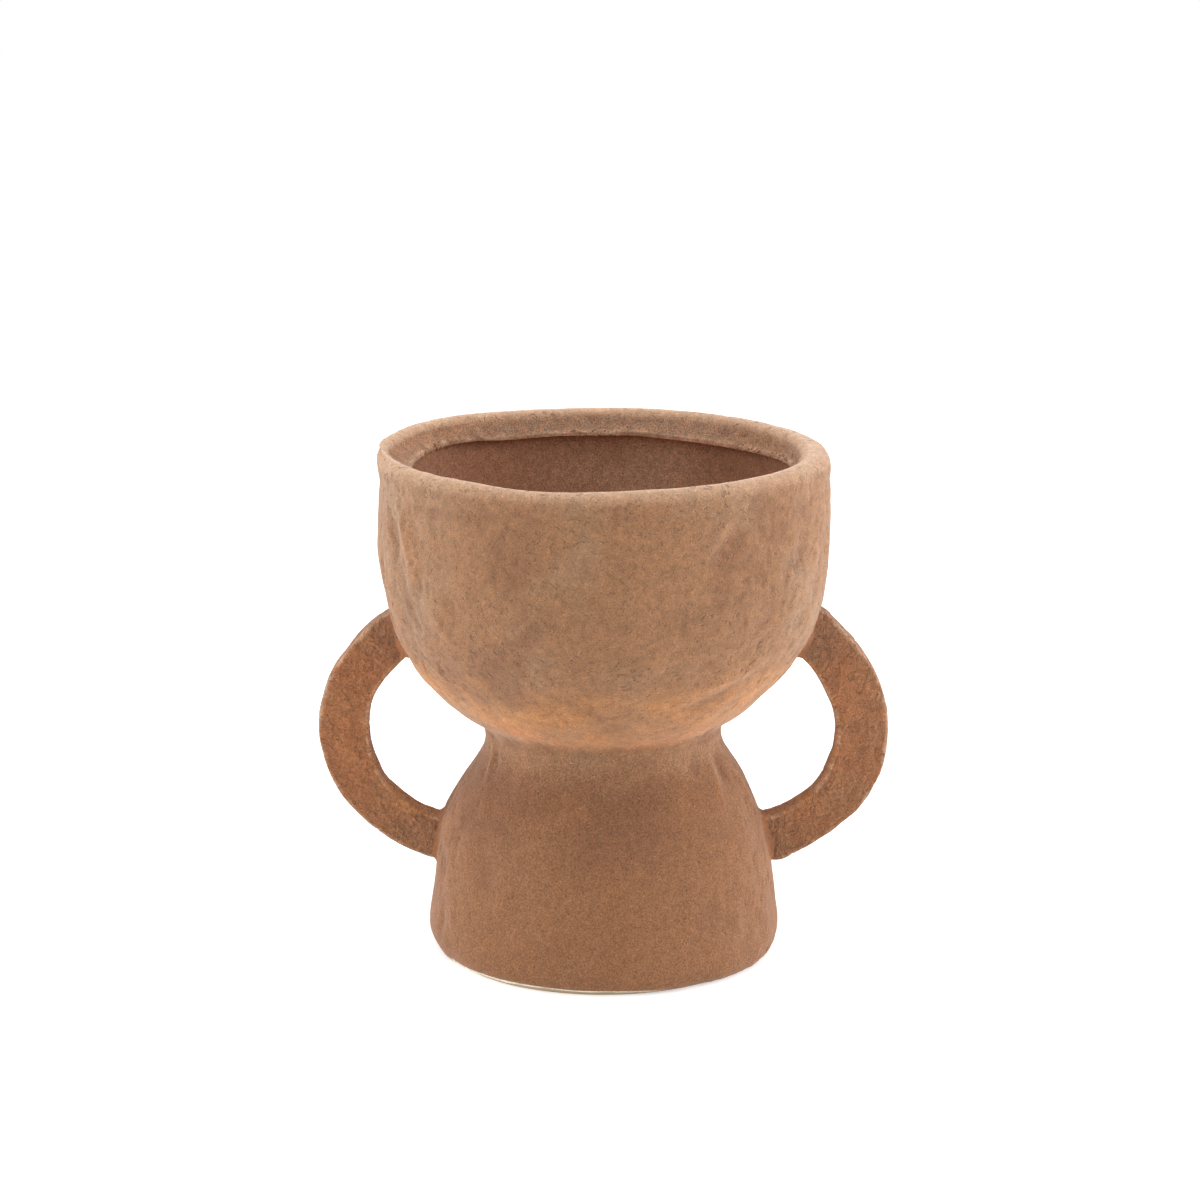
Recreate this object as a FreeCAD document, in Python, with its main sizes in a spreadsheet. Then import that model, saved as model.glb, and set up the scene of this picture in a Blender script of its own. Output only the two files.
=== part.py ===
# Two-handled ceramic vase: a wide bowl on a bell-shaped pedestal, built from pieces of clay.
# Millimetres. Z points up from the table, the axis of the vase is Z, and the handles lie along X.
import FreeCAD, Part
import Sketcher
import math
import os

doc = FreeCAD.newDocument("ceramic_vase")

# Driving dimensions: name, size, what it is.
SIZES = [
    ("wall", 6.5, "thickness of the bowl and pedestal walls"),
    ("foot_ring_height", 1.8, "height of the bare ring under the floor slab"),
    ("foot_ring_width", 7.0, "width of the bare ring"),
    ("base_thickness", 7.5, "thickness of the floor slab"),
    ("base_edge_round", 5.0, "rounding of the slab's lower edge"),
    ("foot_radius", 61.9, "outer radius where the pedestal stands on the slab"),
    ("pedestal_height", 62.7, "height of the pedestal wall"),
    ("foot_flare", 4.7, "how far the pedestal's foot stands out past its shoulder corner"),
    ("shoulder_drop", 23.1, "depth of that corner below the pedestal's top"),
    ("shoulder_round", 72.0, "rounding of the shoulder corner"),
    ("neck_height", 13.0, "height of the coil between pedestal and bowl"),
    ("waist_radius", 41.6, "least radius of the waist"),
    ("waist_rise", 7.0, "height of the waist above the pedestal's top"),
    ("collar_flare", 1.7, "how far the pedestal's top stands out from the waist"),
    ("bowl_flare", 3.3, "how far the bowl's lower edge stands out from the waist"),
    ("bowl_radius", 78.4, "outer radius of the bowl's upright wall"),
    ("bowl_round", 70.0, "radius of the bowl's curved underside"),
    ("bowl_height", 87.0, "height of the bowl up to the rim joint"),
    ("rim_height", 8.0, "height of the rim coil"),
    ("lip_round", 4.0, "rounding of the lip"),
    ("ledge_overhang", 5.4, "how far the rim hangs over inside the bowl's wall"),
    ("ledge_edge", 1.2, "thickness of the overhang at its inner edge"),
    ("handle_projection", 22.3, "how far a handle stands out past the bowl's wall"),
    ("handle_rise", 0.7, "height of the handle's middle above the waist"),
    ("handle_band", 18.3, "width of the handle's strap, seen from the front"),
    ("handle_depth", 10.0, "thickness of the strap from front to back"),
    ("handle_outer_round", 46.3, "radius of the handle's outer curve"),
    ("handle_inner_round", 33.2, "radius of the handle's inner curve"),
    ("handle_edge_round", 2.0, "rounding of the strap's long edges"),
    ("slip_bed", 0.6, "thickness of the slip between a handle's end and the wall"),
    ("slip_collar", 2.6, "height and width of the slip pressed round a handle's end"),
]

sheet = doc.addObject("Spreadsheet::Sheet", "Sizes")
for row, (alias, size, meaning) in enumerate(SIZES, start=1):
    sheet.set("A%d" % row, meaning)
    sheet.set("B%d" % row, str(size))
    sheet.setAlias("B%d" % row, alias)
doc.recompute()

# Heights of the joints above the table, and radii that two pieces share.
base_top = "(Sizes.foot_ring_height + Sizes.base_thickness)"
pedestal_top = "(%s + Sizes.pedestal_height)" % base_top
waist_level = "(%s + Sizes.waist_rise)" % pedestal_top
bowl_bottom = "(%s + Sizes.neck_height)" % pedestal_top
rim_joint = "(%s + Sizes.bowl_height)" % bowl_bottom
rim_top = "(%s + Sizes.rim_height)" % rim_joint
handle_level = "(%s + Sizes.handle_rise)" % waist_level
ring_radius = "(Sizes.foot_radius - Sizes.base_edge_round)"
collar_radius = "(Sizes.waist_radius + Sizes.collar_flare)"
bowl_foot_radius = "(Sizes.waist_radius + Sizes.bowl_flare)"
handle_reach = "(Sizes.bowl_radius + Sizes.handle_projection)"

# The pedestal's slope from its shoulder up to the waist sets the bore that runs through the neck.
shoulder_radius = "(Sizes.foot_radius - Sizes.foot_flare)"
shoulder_level = "(%s - Sizes.shoulder_drop)" % pedestal_top
throat_run = "(%s - %s)" % (shoulder_radius, collar_radius)
throat_length = "sqrt(%s ^ 2 + Sizes.shoulder_drop ^ 2)" % throat_run
neck_bore = "(%s - Sizes.wall * %s / Sizes.shoulder_drop)" % (collar_radius, throat_length)

# The bowl's curve leaves the upright wall at the level of its centre and ends on the neck coil.
bowl_drop = "sqrt(Sizes.bowl_round ^ 2 - (Sizes.bowl_round - Sizes.bowl_radius + %s) ^ 2)" % bowl_foot_radius
bowl_centre_level = "(%s + %s)" % (bowl_bottom, bowl_drop)


def value(expression):
    """Number that an expression on the sheet gives now."""
    return float(sheet.evalExpression(expression))


def new_body(label):
    """Empty body for one piece of clay."""
    body = doc.addObject("PartDesign::Body", label)
    body.Label = label
    return body


def new_sketch(body, name, plane_role):
    """Sketch on one of the body's own origin planes."""
    plane = [item for item in body.Origin.OriginFeatures if item.Role == plane_role][0]
    sketch = body.newObject("Sketcher::SketchObject", name)
    sketch.AttachmentSupport = [(plane, "")]
    sketch.MapMode = "FlatFace"
    return sketch


def line(sketch, start, end):
    """Straight edge between two points of the sketch."""
    return sketch.addGeometry(Part.LineSegment(FreeCAD.Vector(*start, 0), FreeCAD.Vector(*end, 0)))


def arc(sketch, centre, radius, start_angle, end_angle):
    """Round edge, anticlockwise from its start angle to its end angle in radians."""
    circle = Part.Circle(FreeCAD.Vector(*centre, 0), FreeCAD.Vector(0, 0, 1), radius)
    return sketch.addGeometry(Part.ArcOfCircle(circle, start_angle, end_angle))


def tie(sketch, kind, *places):
    """Geometric constraint, such as Tangent or Horizontal."""
    return sketch.addConstraint(Sketcher.Constraint(kind, *places))


def measure(sketch, name, kind, places, expression):
    """Dimension whose size follows the sheet."""
    index = sketch.addConstraint(Sketcher.Constraint(kind, *places, value(expression)))
    sketch.renameConstraint(index, name)
    sketch.setExpression("Constraints." + name, expression)


def place_point(sketch, name, edge, point, across, up):
    """Fix a point of an edge by its distance from the axis and its height."""
    measure(sketch, name + "_across", "DistanceX", (-1, 1, edge, point), across)
    measure(sketch, name + "_up", "DistanceY", (-1, 1, edge, point), up)


def join_ends(sketch, *pairs):
    """Close the outline where one edge's end is the next edge's start."""
    for first, first_point, second, second_point in pairs:
        tie(sketch, "Coincident", first, first_point, second, second_point)


def close_to_axis(sketch, high_end, low_end):
    """Close a section along level lines and the axis. An end is an edge, its point's number and its place."""
    high_edge, high_number, high = high_end
    low_edge, low_number, low = low_end
    top = line(sketch, high, (0, high[1]))
    axis = line(sketch, (0, high[1]), (0, low[1]))
    bottom = line(sketch, (0, low[1]), low)
    join_ends(
        sketch,
        (high_edge, high_number, top, 1),
        (top, 2, axis, 1),
        (axis, 2, bottom, 1),
        (bottom, 2, low_edge, low_number),
    )
    tie(sketch, "Horizontal", top)
    tie(sketch, "Horizontal", bottom)
    tie(sketch, "PointOnObject", axis, 1, -2)
    tie(sketch, "PointOnObject", axis, 2, -2)


def turn(body, sketch):
    """Turn a half section round the vase's axis. It starts at the back, so no seam lies under a handle."""
    doc.recompute()
    solid = body.newObject("PartDesign::Revolution", sketch.Name + "_turned")
    solid.Profile = sketch
    solid.ReferenceAxis = (sketch, ["V_Axis"])
    solid.Angle = 360
    body.Tip = solid
    return body


def on_circle(centre, radius, angle):
    """Point at an angle on a circle."""
    return (centre[0] + radius * math.cos(angle), centre[1] + radius * math.sin(angle))


def make_foot_ring():
    """Flat ring of bare clay that the vase stands on."""
    body = new_body("foot_ring")
    sketch = new_sketch(body, "foot_ring_outline", "XY_Plane")
    inner_radius = "%s - Sizes.foot_ring_width" % ring_radius
    for name, expression in (("outer", ring_radius), ("inner", inner_radius)):
        circle = Part.Circle(FreeCAD.Vector(0, 0, 0), FreeCAD.Vector(0, 0, 1), value(expression))
        edge = sketch.addGeometry(circle)
        tie(sketch, "Coincident", edge, 3, -1, 1)
        measure(sketch, name + "_radius", "Radius", (edge,), expression)
    doc.recompute()
    pad = body.newObject("PartDesign::Pad", "foot_ring_pad")
    pad.Profile = sketch
    pad.setExpression("Length", "Sizes.foot_ring_height")
    body.Tip = pad
    return body


def make_base_disc():
    """Floor slab with its lower edge rounded down to the foot ring."""
    body = new_body("base_disc")
    sketch = new_sketch(body, "base_disc_outline", "XY_Plane")
    sketch.setExpression("AttachmentOffset.Base.z", "Sizes.foot_ring_height")
    circle = Part.Circle(FreeCAD.Vector(0, 0, 0), FreeCAD.Vector(0, 0, 1), value("Sizes.foot_radius"))
    edge = sketch.addGeometry(circle)
    tie(sketch, "Coincident", edge, 3, -1, 1)
    measure(sketch, "slab_radius", "Radius", (edge,), "Sizes.foot_radius")
    doc.recompute()
    pad = body.newObject("PartDesign::Pad", "base_disc_pad")
    pad.Profile = sketch
    pad.setExpression("Length", "Sizes.base_thickness")
    body.Tip = pad
    doc.recompute()
    low = value("Sizes.foot_ring_height")
    names = []
    for number, edge in enumerate(pad.Shape.Edges, start=1):
        if abs(edge.BoundBox.ZMax - low) < 0.01:
            names.append("Edge%d" % number)
    fillet = body.newObject("PartDesign::Fillet", "base_disc_edge")
    fillet.Base = (pad, names)
    fillet.setExpression("Radius", "Sizes.base_edge_round")
    body.Tip = fillet
    return body


def shoulder_shape():
    """Centre of the rounded shoulder and the angles at which the two straight slopes leave it."""
    corner = (value(shoulder_radius), value(shoulder_level))
    low_angle = math.atan2(value("Sizes.foot_flare"), corner[1] - value(base_top))
    high_angle = math.atan2(value(throat_run), value("Sizes.shoulder_drop"))
    middle = (low_angle + high_angle) / 2
    reach = value("Sizes.shoulder_round") / math.cos((high_angle - low_angle) / 2)
    centre = (corner[0] - reach * math.cos(middle), corner[1] - reach * math.sin(middle))
    return corner, centre, low_angle, high_angle


def draw_pedestal_guide(sketch):
    """Outer line of the pedestal: a straight flare, a rounded shoulder and a straight throat."""
    corner, centre, low_angle, high_angle = shoulder_shape()
    radius = value("Sizes.shoulder_round")
    foot = (value("Sizes.foot_radius"), value(base_top))
    top = (value(collar_radius), value(pedestal_top))
    flare = line(sketch, foot, on_circle(centre, radius, low_angle))
    shoulder = arc(sketch, centre, radius, low_angle, high_angle)
    throat = line(sketch, on_circle(centre, radius, high_angle), top)
    mark = sketch.addGeometry(Part.Point(FreeCAD.Vector(*corner, 0)), True)
    tie(sketch, "Tangent", flare, 2, shoulder, 1)
    tie(sketch, "Tangent", shoulder, 2, throat, 1)
    tie(sketch, "PointOnObject", mark, 1, flare)
    tie(sketch, "PointOnObject", mark, 1, throat)
    place_point(sketch, "shoulder", mark, 1, shoulder_radius, shoulder_level)
    place_point(sketch, "foot", flare, 1, "Sizes.foot_radius", base_top)
    place_point(sketch, "collar", throat, 2, collar_radius, pedestal_top)
    measure(sketch, "shoulder_round", "Radius", (shoulder,), "Sizes.shoulder_round")
    return flare, shoulder, throat


def draw_pedestal_side(sketch, guide, offset):
    """Line that runs beside the guide, further out by the offset, between the pedestal's two end levels."""
    corner, centre, low_angle, high_angle = shoulder_shape()
    radius = value("Sizes.shoulder_round + %s" % offset)
    low = (value("Sizes.foot_radius") + value(offset) / math.cos(low_angle), value(base_top))
    high = (value(collar_radius) + value(offset) / math.cos(high_angle), value(pedestal_top))
    flare = line(sketch, low, on_circle(centre, radius, low_angle))
    shoulder = arc(sketch, centre, radius, low_angle, high_angle)
    throat = line(sketch, on_circle(centre, radius, high_angle), high)
    tie(sketch, "Tangent", flare, 2, shoulder, 1)
    tie(sketch, "Tangent", shoulder, 2, throat, 1)
    tie(sketch, "Coincident", shoulder, 3, guide[1], 3)
    tie(sketch, "Parallel", flare, guide[0])
    tie(sketch, "Parallel", throat, guide[2])
    measure(sketch, "side_round", "Radius", (shoulder,), "Sizes.shoulder_round + %s" % offset)
    measure(sketch, "side_low", "DistanceY", (-1, 1, flare, 1), base_top)
    measure(sketch, "side_high", "DistanceY", (-1, 1, throat, 2), pedestal_top)
    return flare, low, throat, high


def make_pedestal():
    """Bell-shaped wall of even thickness."""
    body = new_body("pedestal")
    sketch = new_sketch(body, "pedestal_section", "YZ_Plane")
    guide = draw_pedestal_guide(sketch)
    inner_flare, inner_low, inner_throat, inner_high = draw_pedestal_side(sketch, guide, "(-1 * Sizes.wall)")
    top = line(sketch, (value(collar_radius), inner_high[1]), inner_high)
    bottom = line(sketch, inner_low, (value("Sizes.foot_radius"), inner_low[1]))
    join_ends(
        sketch,
        (guide[2], 2, top, 1),
        (top, 2, inner_throat, 2),
        (inner_flare, 1, bottom, 1),
        (bottom, 2, guide[0], 1),
    )
    return turn(body, sketch)


def make_pedestal_core(label, offset):
    """Pedestal filled up to the axis and larger by the offset, used to shape the handles' lower ends."""
    body = new_body(label)
    sketch = new_sketch(body, label + "_section", "YZ_Plane")
    guide = draw_pedestal_guide(sketch)
    for edge in guide:
        sketch.setConstruction(edge, True)
    flare, low, throat, high = draw_pedestal_side(sketch, guide, offset)
    close_to_axis(sketch, (throat, 2, high), (flare, 1, low))
    return turn(body, sketch)


def make_neck_coil():
    """Coil between pedestal and bowl, pressed in to a narrow waist."""
    body = new_body("neck_coil")
    sketch = new_sketch(body, "neck_coil_section", "YZ_Plane")
    waist = (value("Sizes.waist_radius"), value(waist_level))
    low = (value(collar_radius), value(pedestal_top))
    high = (value(bowl_foot_radius), value(bowl_bottom))
    bore = value(neck_bore)
    edges = []
    for end in (low, high):
        run = end[0] - waist[0]
        rise = end[1] - waist[1]
        radius = (run ** 2 + rise ** 2) / (2 * run)
        centre = (waist[0] + radius, waist[1])
        angle = math.atan2(end[1] - centre[1], end[0] - centre[0]) % (2 * math.pi)
        edges.append(arc(sketch, centre, radius, min(angle, math.pi), max(angle, math.pi)))
    lower, upper = edges
    top = line(sketch, high, (bore, high[1]))
    inside = line(sketch, (bore, high[1]), (bore, low[1]))
    bottom = line(sketch, (bore, low[1]), low)
    join_ends(
        sketch,
        (upper, 1, top, 1),
        (top, 2, inside, 1),
        (inside, 2, bottom, 1),
        (bottom, 2, lower, 2),
    )
    tie(sketch, "Tangent", upper, 2, lower, 1)
    tie(sketch, "Horizontal", lower, 3, lower, 1)
    tie(sketch, "Horizontal", top)
    tie(sketch, "Vertical", inside)
    tie(sketch, "Horizontal", bottom)
    place_point(sketch, "waist", lower, 1, "Sizes.waist_radius", waist_level)
    place_point(sketch, "collar", lower, 2, collar_radius, pedestal_top)
    place_point(sketch, "bowl_foot", upper, 1, bowl_foot_radius, bowl_bottom)
    measure(sketch, "bore", "DistanceX", (-1, 1, inside, 1), neck_bore)
    return turn(body, sketch)


def draw_bowl_side(sketch, name, offset):
    """Line of the bowl's wall, further out by the offset: an upright that curves in below."""
    radius = value("Sizes.bowl_round + %s" % offset)
    across = value("Sizes.bowl_radius - Sizes.bowl_round")
    centre = (across, value(bowl_centre_level))
    low = value(bowl_bottom)
    low_angle = -math.asin((centre[1] - low) / radius)
    top = (value("Sizes.bowl_radius + %s" % offset), value(rim_joint))
    upright = line(sketch, top, on_circle(centre, radius, 0))
    curve = arc(sketch, centre, radius, low_angle, 0)
    tie(sketch, "Tangent", upright, 2, curve, 2)
    tie(sketch, "Vertical", upright)
    place_point(sketch, name + "_top", upright, 1, "Sizes.bowl_radius + %s" % offset, rim_joint)
    measure(sketch, name + "_round", "Radius", (curve,), "Sizes.bowl_round + %s" % offset)
    measure(sketch, name + "_centre", "DistanceY", (-1, 1, curve, 3), bowl_centre_level)
    return upright, top, curve, centre, on_circle(centre, radius, low_angle)


def make_bowl():
    """Bowl wall of even thickness, open above and into the neck below."""
    body = new_body("bowl")
    sketch = new_sketch(body, "bowl_section", "YZ_Plane")
    upright, top_point, curve, centre, low_point = draw_bowl_side(sketch, "outer", "0")
    measure(sketch, "outer_low", "DistanceY", (-1, 1, curve, 1), bowl_bottom)
    radius = value("Sizes.bowl_round - Sizes.wall")
    bore = value(neck_bore)
    bore_angle = -math.acos((bore - centre[0]) / radius)
    bore_top = on_circle(centre, radius, bore_angle)
    wall_foot = on_circle(centre, radius, 0)
    bottom = line(sketch, low_point, (bore, low_point[1]))
    inside_neck = line(sketch, (bore, low_point[1]), bore_top)
    inner_curve = arc(sketch, centre, radius, bore_angle, 0)
    inner_upright = line(sketch, wall_foot, (wall_foot[0], top_point[1]))
    top = line(sketch, (wall_foot[0], top_point[1]), top_point)
    join_ends(
        sketch,
        (curve, 1, bottom, 1),
        (bottom, 2, inside_neck, 1),
        (inside_neck, 2, inner_curve, 1),
        (inner_upright, 2, top, 1),
        (top, 2, upright, 1),
        (inner_curve, 3, curve, 3),
    )
    tie(sketch, "Tangent", inner_curve, 2, inner_upright, 1)
    tie(sketch, "Horizontal", bottom)
    tie(sketch, "Vertical", inside_neck)
    tie(sketch, "Vertical", inner_upright)
    tie(sketch, "Horizontal", top)
    measure(sketch, "inner_round", "Radius", (inner_curve,), "Sizes.bowl_round - Sizes.wall")
    measure(sketch, "bore", "DistanceX", (-1, 1, inside_neck, 1), neck_bore)
    return turn(body, sketch)


def make_bowl_core(label, offset):
    """Bowl filled up to the axis and larger by the offset, used to shape the handles' upper ends."""
    body = new_body(label)
    sketch = new_sketch(body, label + "_section", "YZ_Plane")
    upright, top_point, curve, centre, low_point = draw_bowl_side(sketch, "side", offset)
    measure(sketch, "side_low", "DistanceY", (-1, 1, curve, 1), bowl_bottom)
    close_to_axis(sketch, (upright, 1, top_point), (curve, 1, low_point))
    return turn(body, sketch)


def make_rim_coil():
    """Thick lip with a round crest and a slope down to the ledge inside."""
    body = new_body("rim_coil")
    sketch = new_sketch(body, "rim_coil_section", "YZ_Plane")
    round_off = value("Sizes.lip_round")
    outer = value("Sizes.bowl_radius")
    low = value(rim_joint)
    ledge_radius = "Sizes.bowl_radius - Sizes.wall - Sizes.ledge_overhang"
    ledge_level = "%s + Sizes.ledge_edge" % rim_joint
    ledge = (value(ledge_radius), value(ledge_level))
    centre = (outer - round_off, value(rim_top) - round_off)
    away = math.hypot(ledge[0] - centre[0], ledge[1] - centre[1])
    bearing = math.atan2(ledge[1] - centre[1], ledge[0] - centre[0]) % (2 * math.pi)
    slope_angle = bearing - math.acos(round_off / away)
    outside = line(sketch, (outer, low), (outer, centre[1]))
    crest = arc(sketch, centre, round_off, 0, slope_angle)
    slope = line(sketch, on_circle(centre, round_off, slope_angle), ledge)
    edge = line(sketch, ledge, (ledge[0], low))
    bottom = line(sketch, (ledge[0], low), (outer, low))
    join_ends(
        sketch,
        (slope, 2, edge, 1),
        (edge, 2, bottom, 1),
        (bottom, 2, outside, 1),
    )
    tie(sketch, "Tangent", outside, 2, crest, 1)
    tie(sketch, "Tangent", crest, 2, slope, 1)
    tie(sketch, "Vertical", outside)
    tie(sketch, "Vertical", edge)
    tie(sketch, "Horizontal", bottom)
    place_point(sketch, "joint", outside, 1, "Sizes.bowl_radius", rim_joint)
    place_point(sketch, "ledge", edge, 1, ledge_radius, ledge_level)
    measure(sketch, "lip_round", "Radius", (crest,), "Sizes.lip_round")
    measure(sketch, "crest_level", "DistanceY", (-1, 1, crest, 3), "%s - Sizes.lip_round" % rim_top)
    return turn(body, sketch)


def make_strap(label, side, margin, edge_round):
    """Flat loop from wall to wall, with ends that run on into the vase and a margin added all round."""
    body = new_body(label)
    sketch = new_sketch(body, label + "_outline", "XZ_Plane")
    outer_round = "(Sizes.handle_outer_round + %s)" % margin
    inner_round = "(Sizes.handle_inner_round - %s)" % margin
    outer_across = "(%s - Sizes.handle_outer_round)" % handle_reach
    inner_across = "(%s - Sizes.handle_band - Sizes.handle_inner_round)" % handle_reach
    level = value(handle_level)
    start_angle = -math.pi / 2 if side > 0 else math.pi / 2
    end_angle = start_angle + math.pi
    first, last = (1, 2) if side > 0 else (2, 1)
    root = side * value(neck_bore)
    outer_centre = (side * value(outer_across), level)
    inner_centre = (side * value(inner_across), level)
    outer = arc(sketch, outer_centre, value(outer_round), start_angle, end_angle)
    inner = arc(sketch, inner_centre, value(inner_round), start_angle, end_angle)
    outer_low = (outer_centre[0], level - value(outer_round))
    outer_high = (outer_centre[0], level + value(outer_round))
    inner_low = (inner_centre[0], level - value(inner_round))
    inner_high = (inner_centre[0], level + value(inner_round))
    top = line(sketch, outer_high, (root, outer_high[1]))
    top_end = line(sketch, (root, outer_high[1]), (root, inner_high[1]))
    under_top = line(sketch, (root, inner_high[1]), inner_high)
    over_bottom = line(sketch, inner_low, (root, inner_low[1]))
    bottom_end = line(sketch, (root, inner_low[1]), (root, outer_low[1]))
    bottom = line(sketch, (root, outer_low[1]), outer_low)
    tie(sketch, "Tangent", outer, last, top, 1)
    tie(sketch, "Tangent", under_top, 2, inner, last)
    tie(sketch, "Tangent", inner, first, over_bottom, 1)
    tie(sketch, "Tangent", bottom, 2, outer, first)
    join_ends(
        sketch,
        (top, 2, top_end, 1),
        (top_end, 2, under_top, 1),
        (over_bottom, 2, bottom_end, 1),
        (bottom_end, 2, bottom, 1),
    )
    for edge in (top, under_top, over_bottom, bottom):
        tie(sketch, "Horizontal", edge)
    for edge in (top_end, bottom_end):
        tie(sketch, "Vertical", edge)
    sign = "" if side > 0 else "-1 * "
    place_point(sketch, "outer_centre", outer, 3, sign + outer_across, handle_level)
    place_point(sketch, "inner_centre", inner, 3, sign + inner_across, handle_level)
    measure(sketch, "outer_round", "Radius", (outer,), outer_round)
    measure(sketch, "inner_round", "Radius", (inner,), inner_round)
    measure(sketch, "upper_root", "DistanceX", (-1, 1, top_end, 1), sign + neck_bore)
    measure(sketch, "lower_root", "DistanceX", (-1, 1, bottom_end, 1), sign + neck_bore)
    doc.recompute()
    pad = body.newObject("PartDesign::Pad", label + "_pad")
    pad.Profile = sketch
    pad.SideType = "Symmetric"
    pad.setExpression("Length", "Sizes.handle_depth + 2 * %s" % margin)
    body.Tip = pad
    doc.recompute()
    half_depth = value("Sizes.handle_depth + 2 * %s" % margin) / 2
    names = []
    for number, edge in enumerate(pad.Shape.Edges, start=1):
        box = edge.BoundBox
        on_face = abs(abs(box.YMin) - half_depth) < 0.01 and box.YLength < 0.01
        upright = box.XLength < 0.01
        if on_face and not upright:
            names.append("Edge%d" % number)
    fillet = body.newObject("PartDesign::Fillet", label + "_edges")
    fillet.Base = (pad, names)
    fillet.setExpression("Radius", edge_round)
    body.Tip = fillet
    return body


def combine(kind, label, base, tool):
    """Boolean of two objects of the document."""
    result = doc.addObject(kind, label)
    result.Base = base
    result.Tool = tool
    result.Label = label
    return result


def make_handle(name, side, beds):
    """Strap cut back to the slip that it is bedded in, at the bowl and at the pedestal."""
    strap = make_strap(name + "_handle_strap", side, "0", "Sizes.handle_edge_round")
    short_strap = combine("Part::Cut", name + "_handle_upper_end", strap, beds["upper"])
    return combine("Part::Cut", name + "_handle", short_strap, beds["lower"])


def make_slip(name, side, place, core, collar_skin, handle):
    """Layer of slip under one end of a handle, with the collar pressed round that end."""
    label = "%s_%s_slip" % (name, place)
    reach_round = "Sizes.handle_edge_round + Sizes.slip_collar"
    reach = make_strap(label + "_reach", side, "Sizes.slip_collar", reach_round)
    shell = combine("Part::Cut", label + "_shell", collar_skin, core)
    patch = combine("Part::Common", label + "_patch", shell, reach)
    return combine("Part::Cut", label, patch, handle)


pieces = [
    make_foot_ring(),
    make_base_disc(),
    make_pedestal(),
    make_neck_coil(),
    make_bowl(),
    make_rim_coil(),
]
cores = {}
beds = {}
collars = {}
for place, make_core in (("upper", make_bowl_core), ("lower", make_pedestal_core)):
    cores[place] = make_core(place + "_core", "0")
    beds[place] = make_core(place + "_bed", "Sizes.slip_bed")
    collars[place] = make_core(place + "_collar", "Sizes.slip_collar")
for name, side in (("left", -1), ("right", 1)):
    handle = make_handle(name, side, beds)
    pieces.append(handle)
    for place in ("upper", "lower"):
        pieces.append(make_slip(name, side, place, cores[place], collars[place], handle))
doc.recompute()

for item in doc.Objects:
    if "Invalid" in item.State or "Error" in item.State:
        raise RuntimeError("%s could not be built: %s" % (item.Label, item.State))

os.makedirs("parts", exist_ok=True)
for piece in pieces:
    shape = piece.Shape
    if shape.isNull() or not shape.isValid():
        raise RuntimeError("%s has no valid shape" % piece.Label)
    if len(shape.Solids) != 1:
        raise RuntimeError("%s has %d solids" % (piece.Label, len(shape.Solids)))
    shape.exportStep("parts/%s.step" % piece.Label)
    print("%-18s %10.1f mm3" % (piece.Label, shape.Volume))
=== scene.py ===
import functools
import math

import bmesh
import bpy
import numpy as np
from bpy.props import FloatProperty, FloatVectorProperty, IntProperty, PointerProperty
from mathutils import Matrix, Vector, noise
from mathutils.bvhtree import BVHTree


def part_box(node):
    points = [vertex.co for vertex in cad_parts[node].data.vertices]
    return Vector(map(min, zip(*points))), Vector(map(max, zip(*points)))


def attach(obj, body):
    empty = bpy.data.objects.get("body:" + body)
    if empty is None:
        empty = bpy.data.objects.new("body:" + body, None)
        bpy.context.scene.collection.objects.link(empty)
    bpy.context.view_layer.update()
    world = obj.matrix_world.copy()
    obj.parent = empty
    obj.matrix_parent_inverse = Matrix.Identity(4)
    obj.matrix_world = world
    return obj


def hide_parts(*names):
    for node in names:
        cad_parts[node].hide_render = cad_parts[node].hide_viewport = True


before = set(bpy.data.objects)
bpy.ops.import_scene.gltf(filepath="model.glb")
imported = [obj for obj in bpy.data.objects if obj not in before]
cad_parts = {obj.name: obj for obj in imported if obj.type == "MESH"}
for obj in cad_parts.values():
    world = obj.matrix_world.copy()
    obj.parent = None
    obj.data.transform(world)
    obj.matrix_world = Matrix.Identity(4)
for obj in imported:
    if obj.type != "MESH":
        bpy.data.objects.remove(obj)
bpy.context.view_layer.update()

bl_info = {
    "name": "Clay vase",
    "version": (1, 0, 0),
    "blender": (4, 5, 0),
    "location": "View3D > Sidebar > Clay vase",
    "description": "Forms the pieces of a hand-built, two-handled terracotta vase over its CAD frame",
    "category": "Add Mesh",
}

MM = 0.001


@functools.lru_cache(maxsize=None)
def node_box(node):
    """Lowest and highest corner of a CAD node, measured once."""
    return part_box(node)


def low(node, axis):
    """Lowest coordinate of a CAD node along an axis."""
    return node_box(node)[0][axis]


def high(node, axis):
    """Highest coordinate of a CAD node along an axis."""
    return node_box(node)[1][axis]


# Hand marks: angle round the axis and level, half length, half width, lean towards larger angles, depth.
# Angles in degrees from the right handle, seen from above; lengths in millimetres; a hollow is below zero.
FORM_MARKS = [
    (0, 118, 11, 34, 0, 0.7),
    (0, 157, 9, 40, 0, 0.6),
    (0, 90, 5, 26, 0, -0.8),
    (0, 25, 17, 36, 0, 0.6),
    (0, 64, 9, 26, 0, 0.5),
    (180, 131, 9, 36, 0, -1.0),
    (180, 168, 9, 40, 0, -0.8),
    (180, 87, 5, 26, 0, 1.2),
    (180, 106, 9, 30, 0, 0.5),
    (180, 47, 8, 30, 0, 0.8),
    (180, 66, 9, 26, 0, -0.9),
    (190, 2, 4, 30, 0, -1.7),
    (322, 112, 9, 22, 35, -0.8),
    (40, 140, 26, 30, 10, -0.7),
    (75, 115, 18, 24, -15, 0.6),
    (130, 150, 24, 26, 0, -0.6),
    (105, 40, 20, 30, 0, 0.6),
    (60, 35, 22, 24, 0, -0.6),
]
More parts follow.
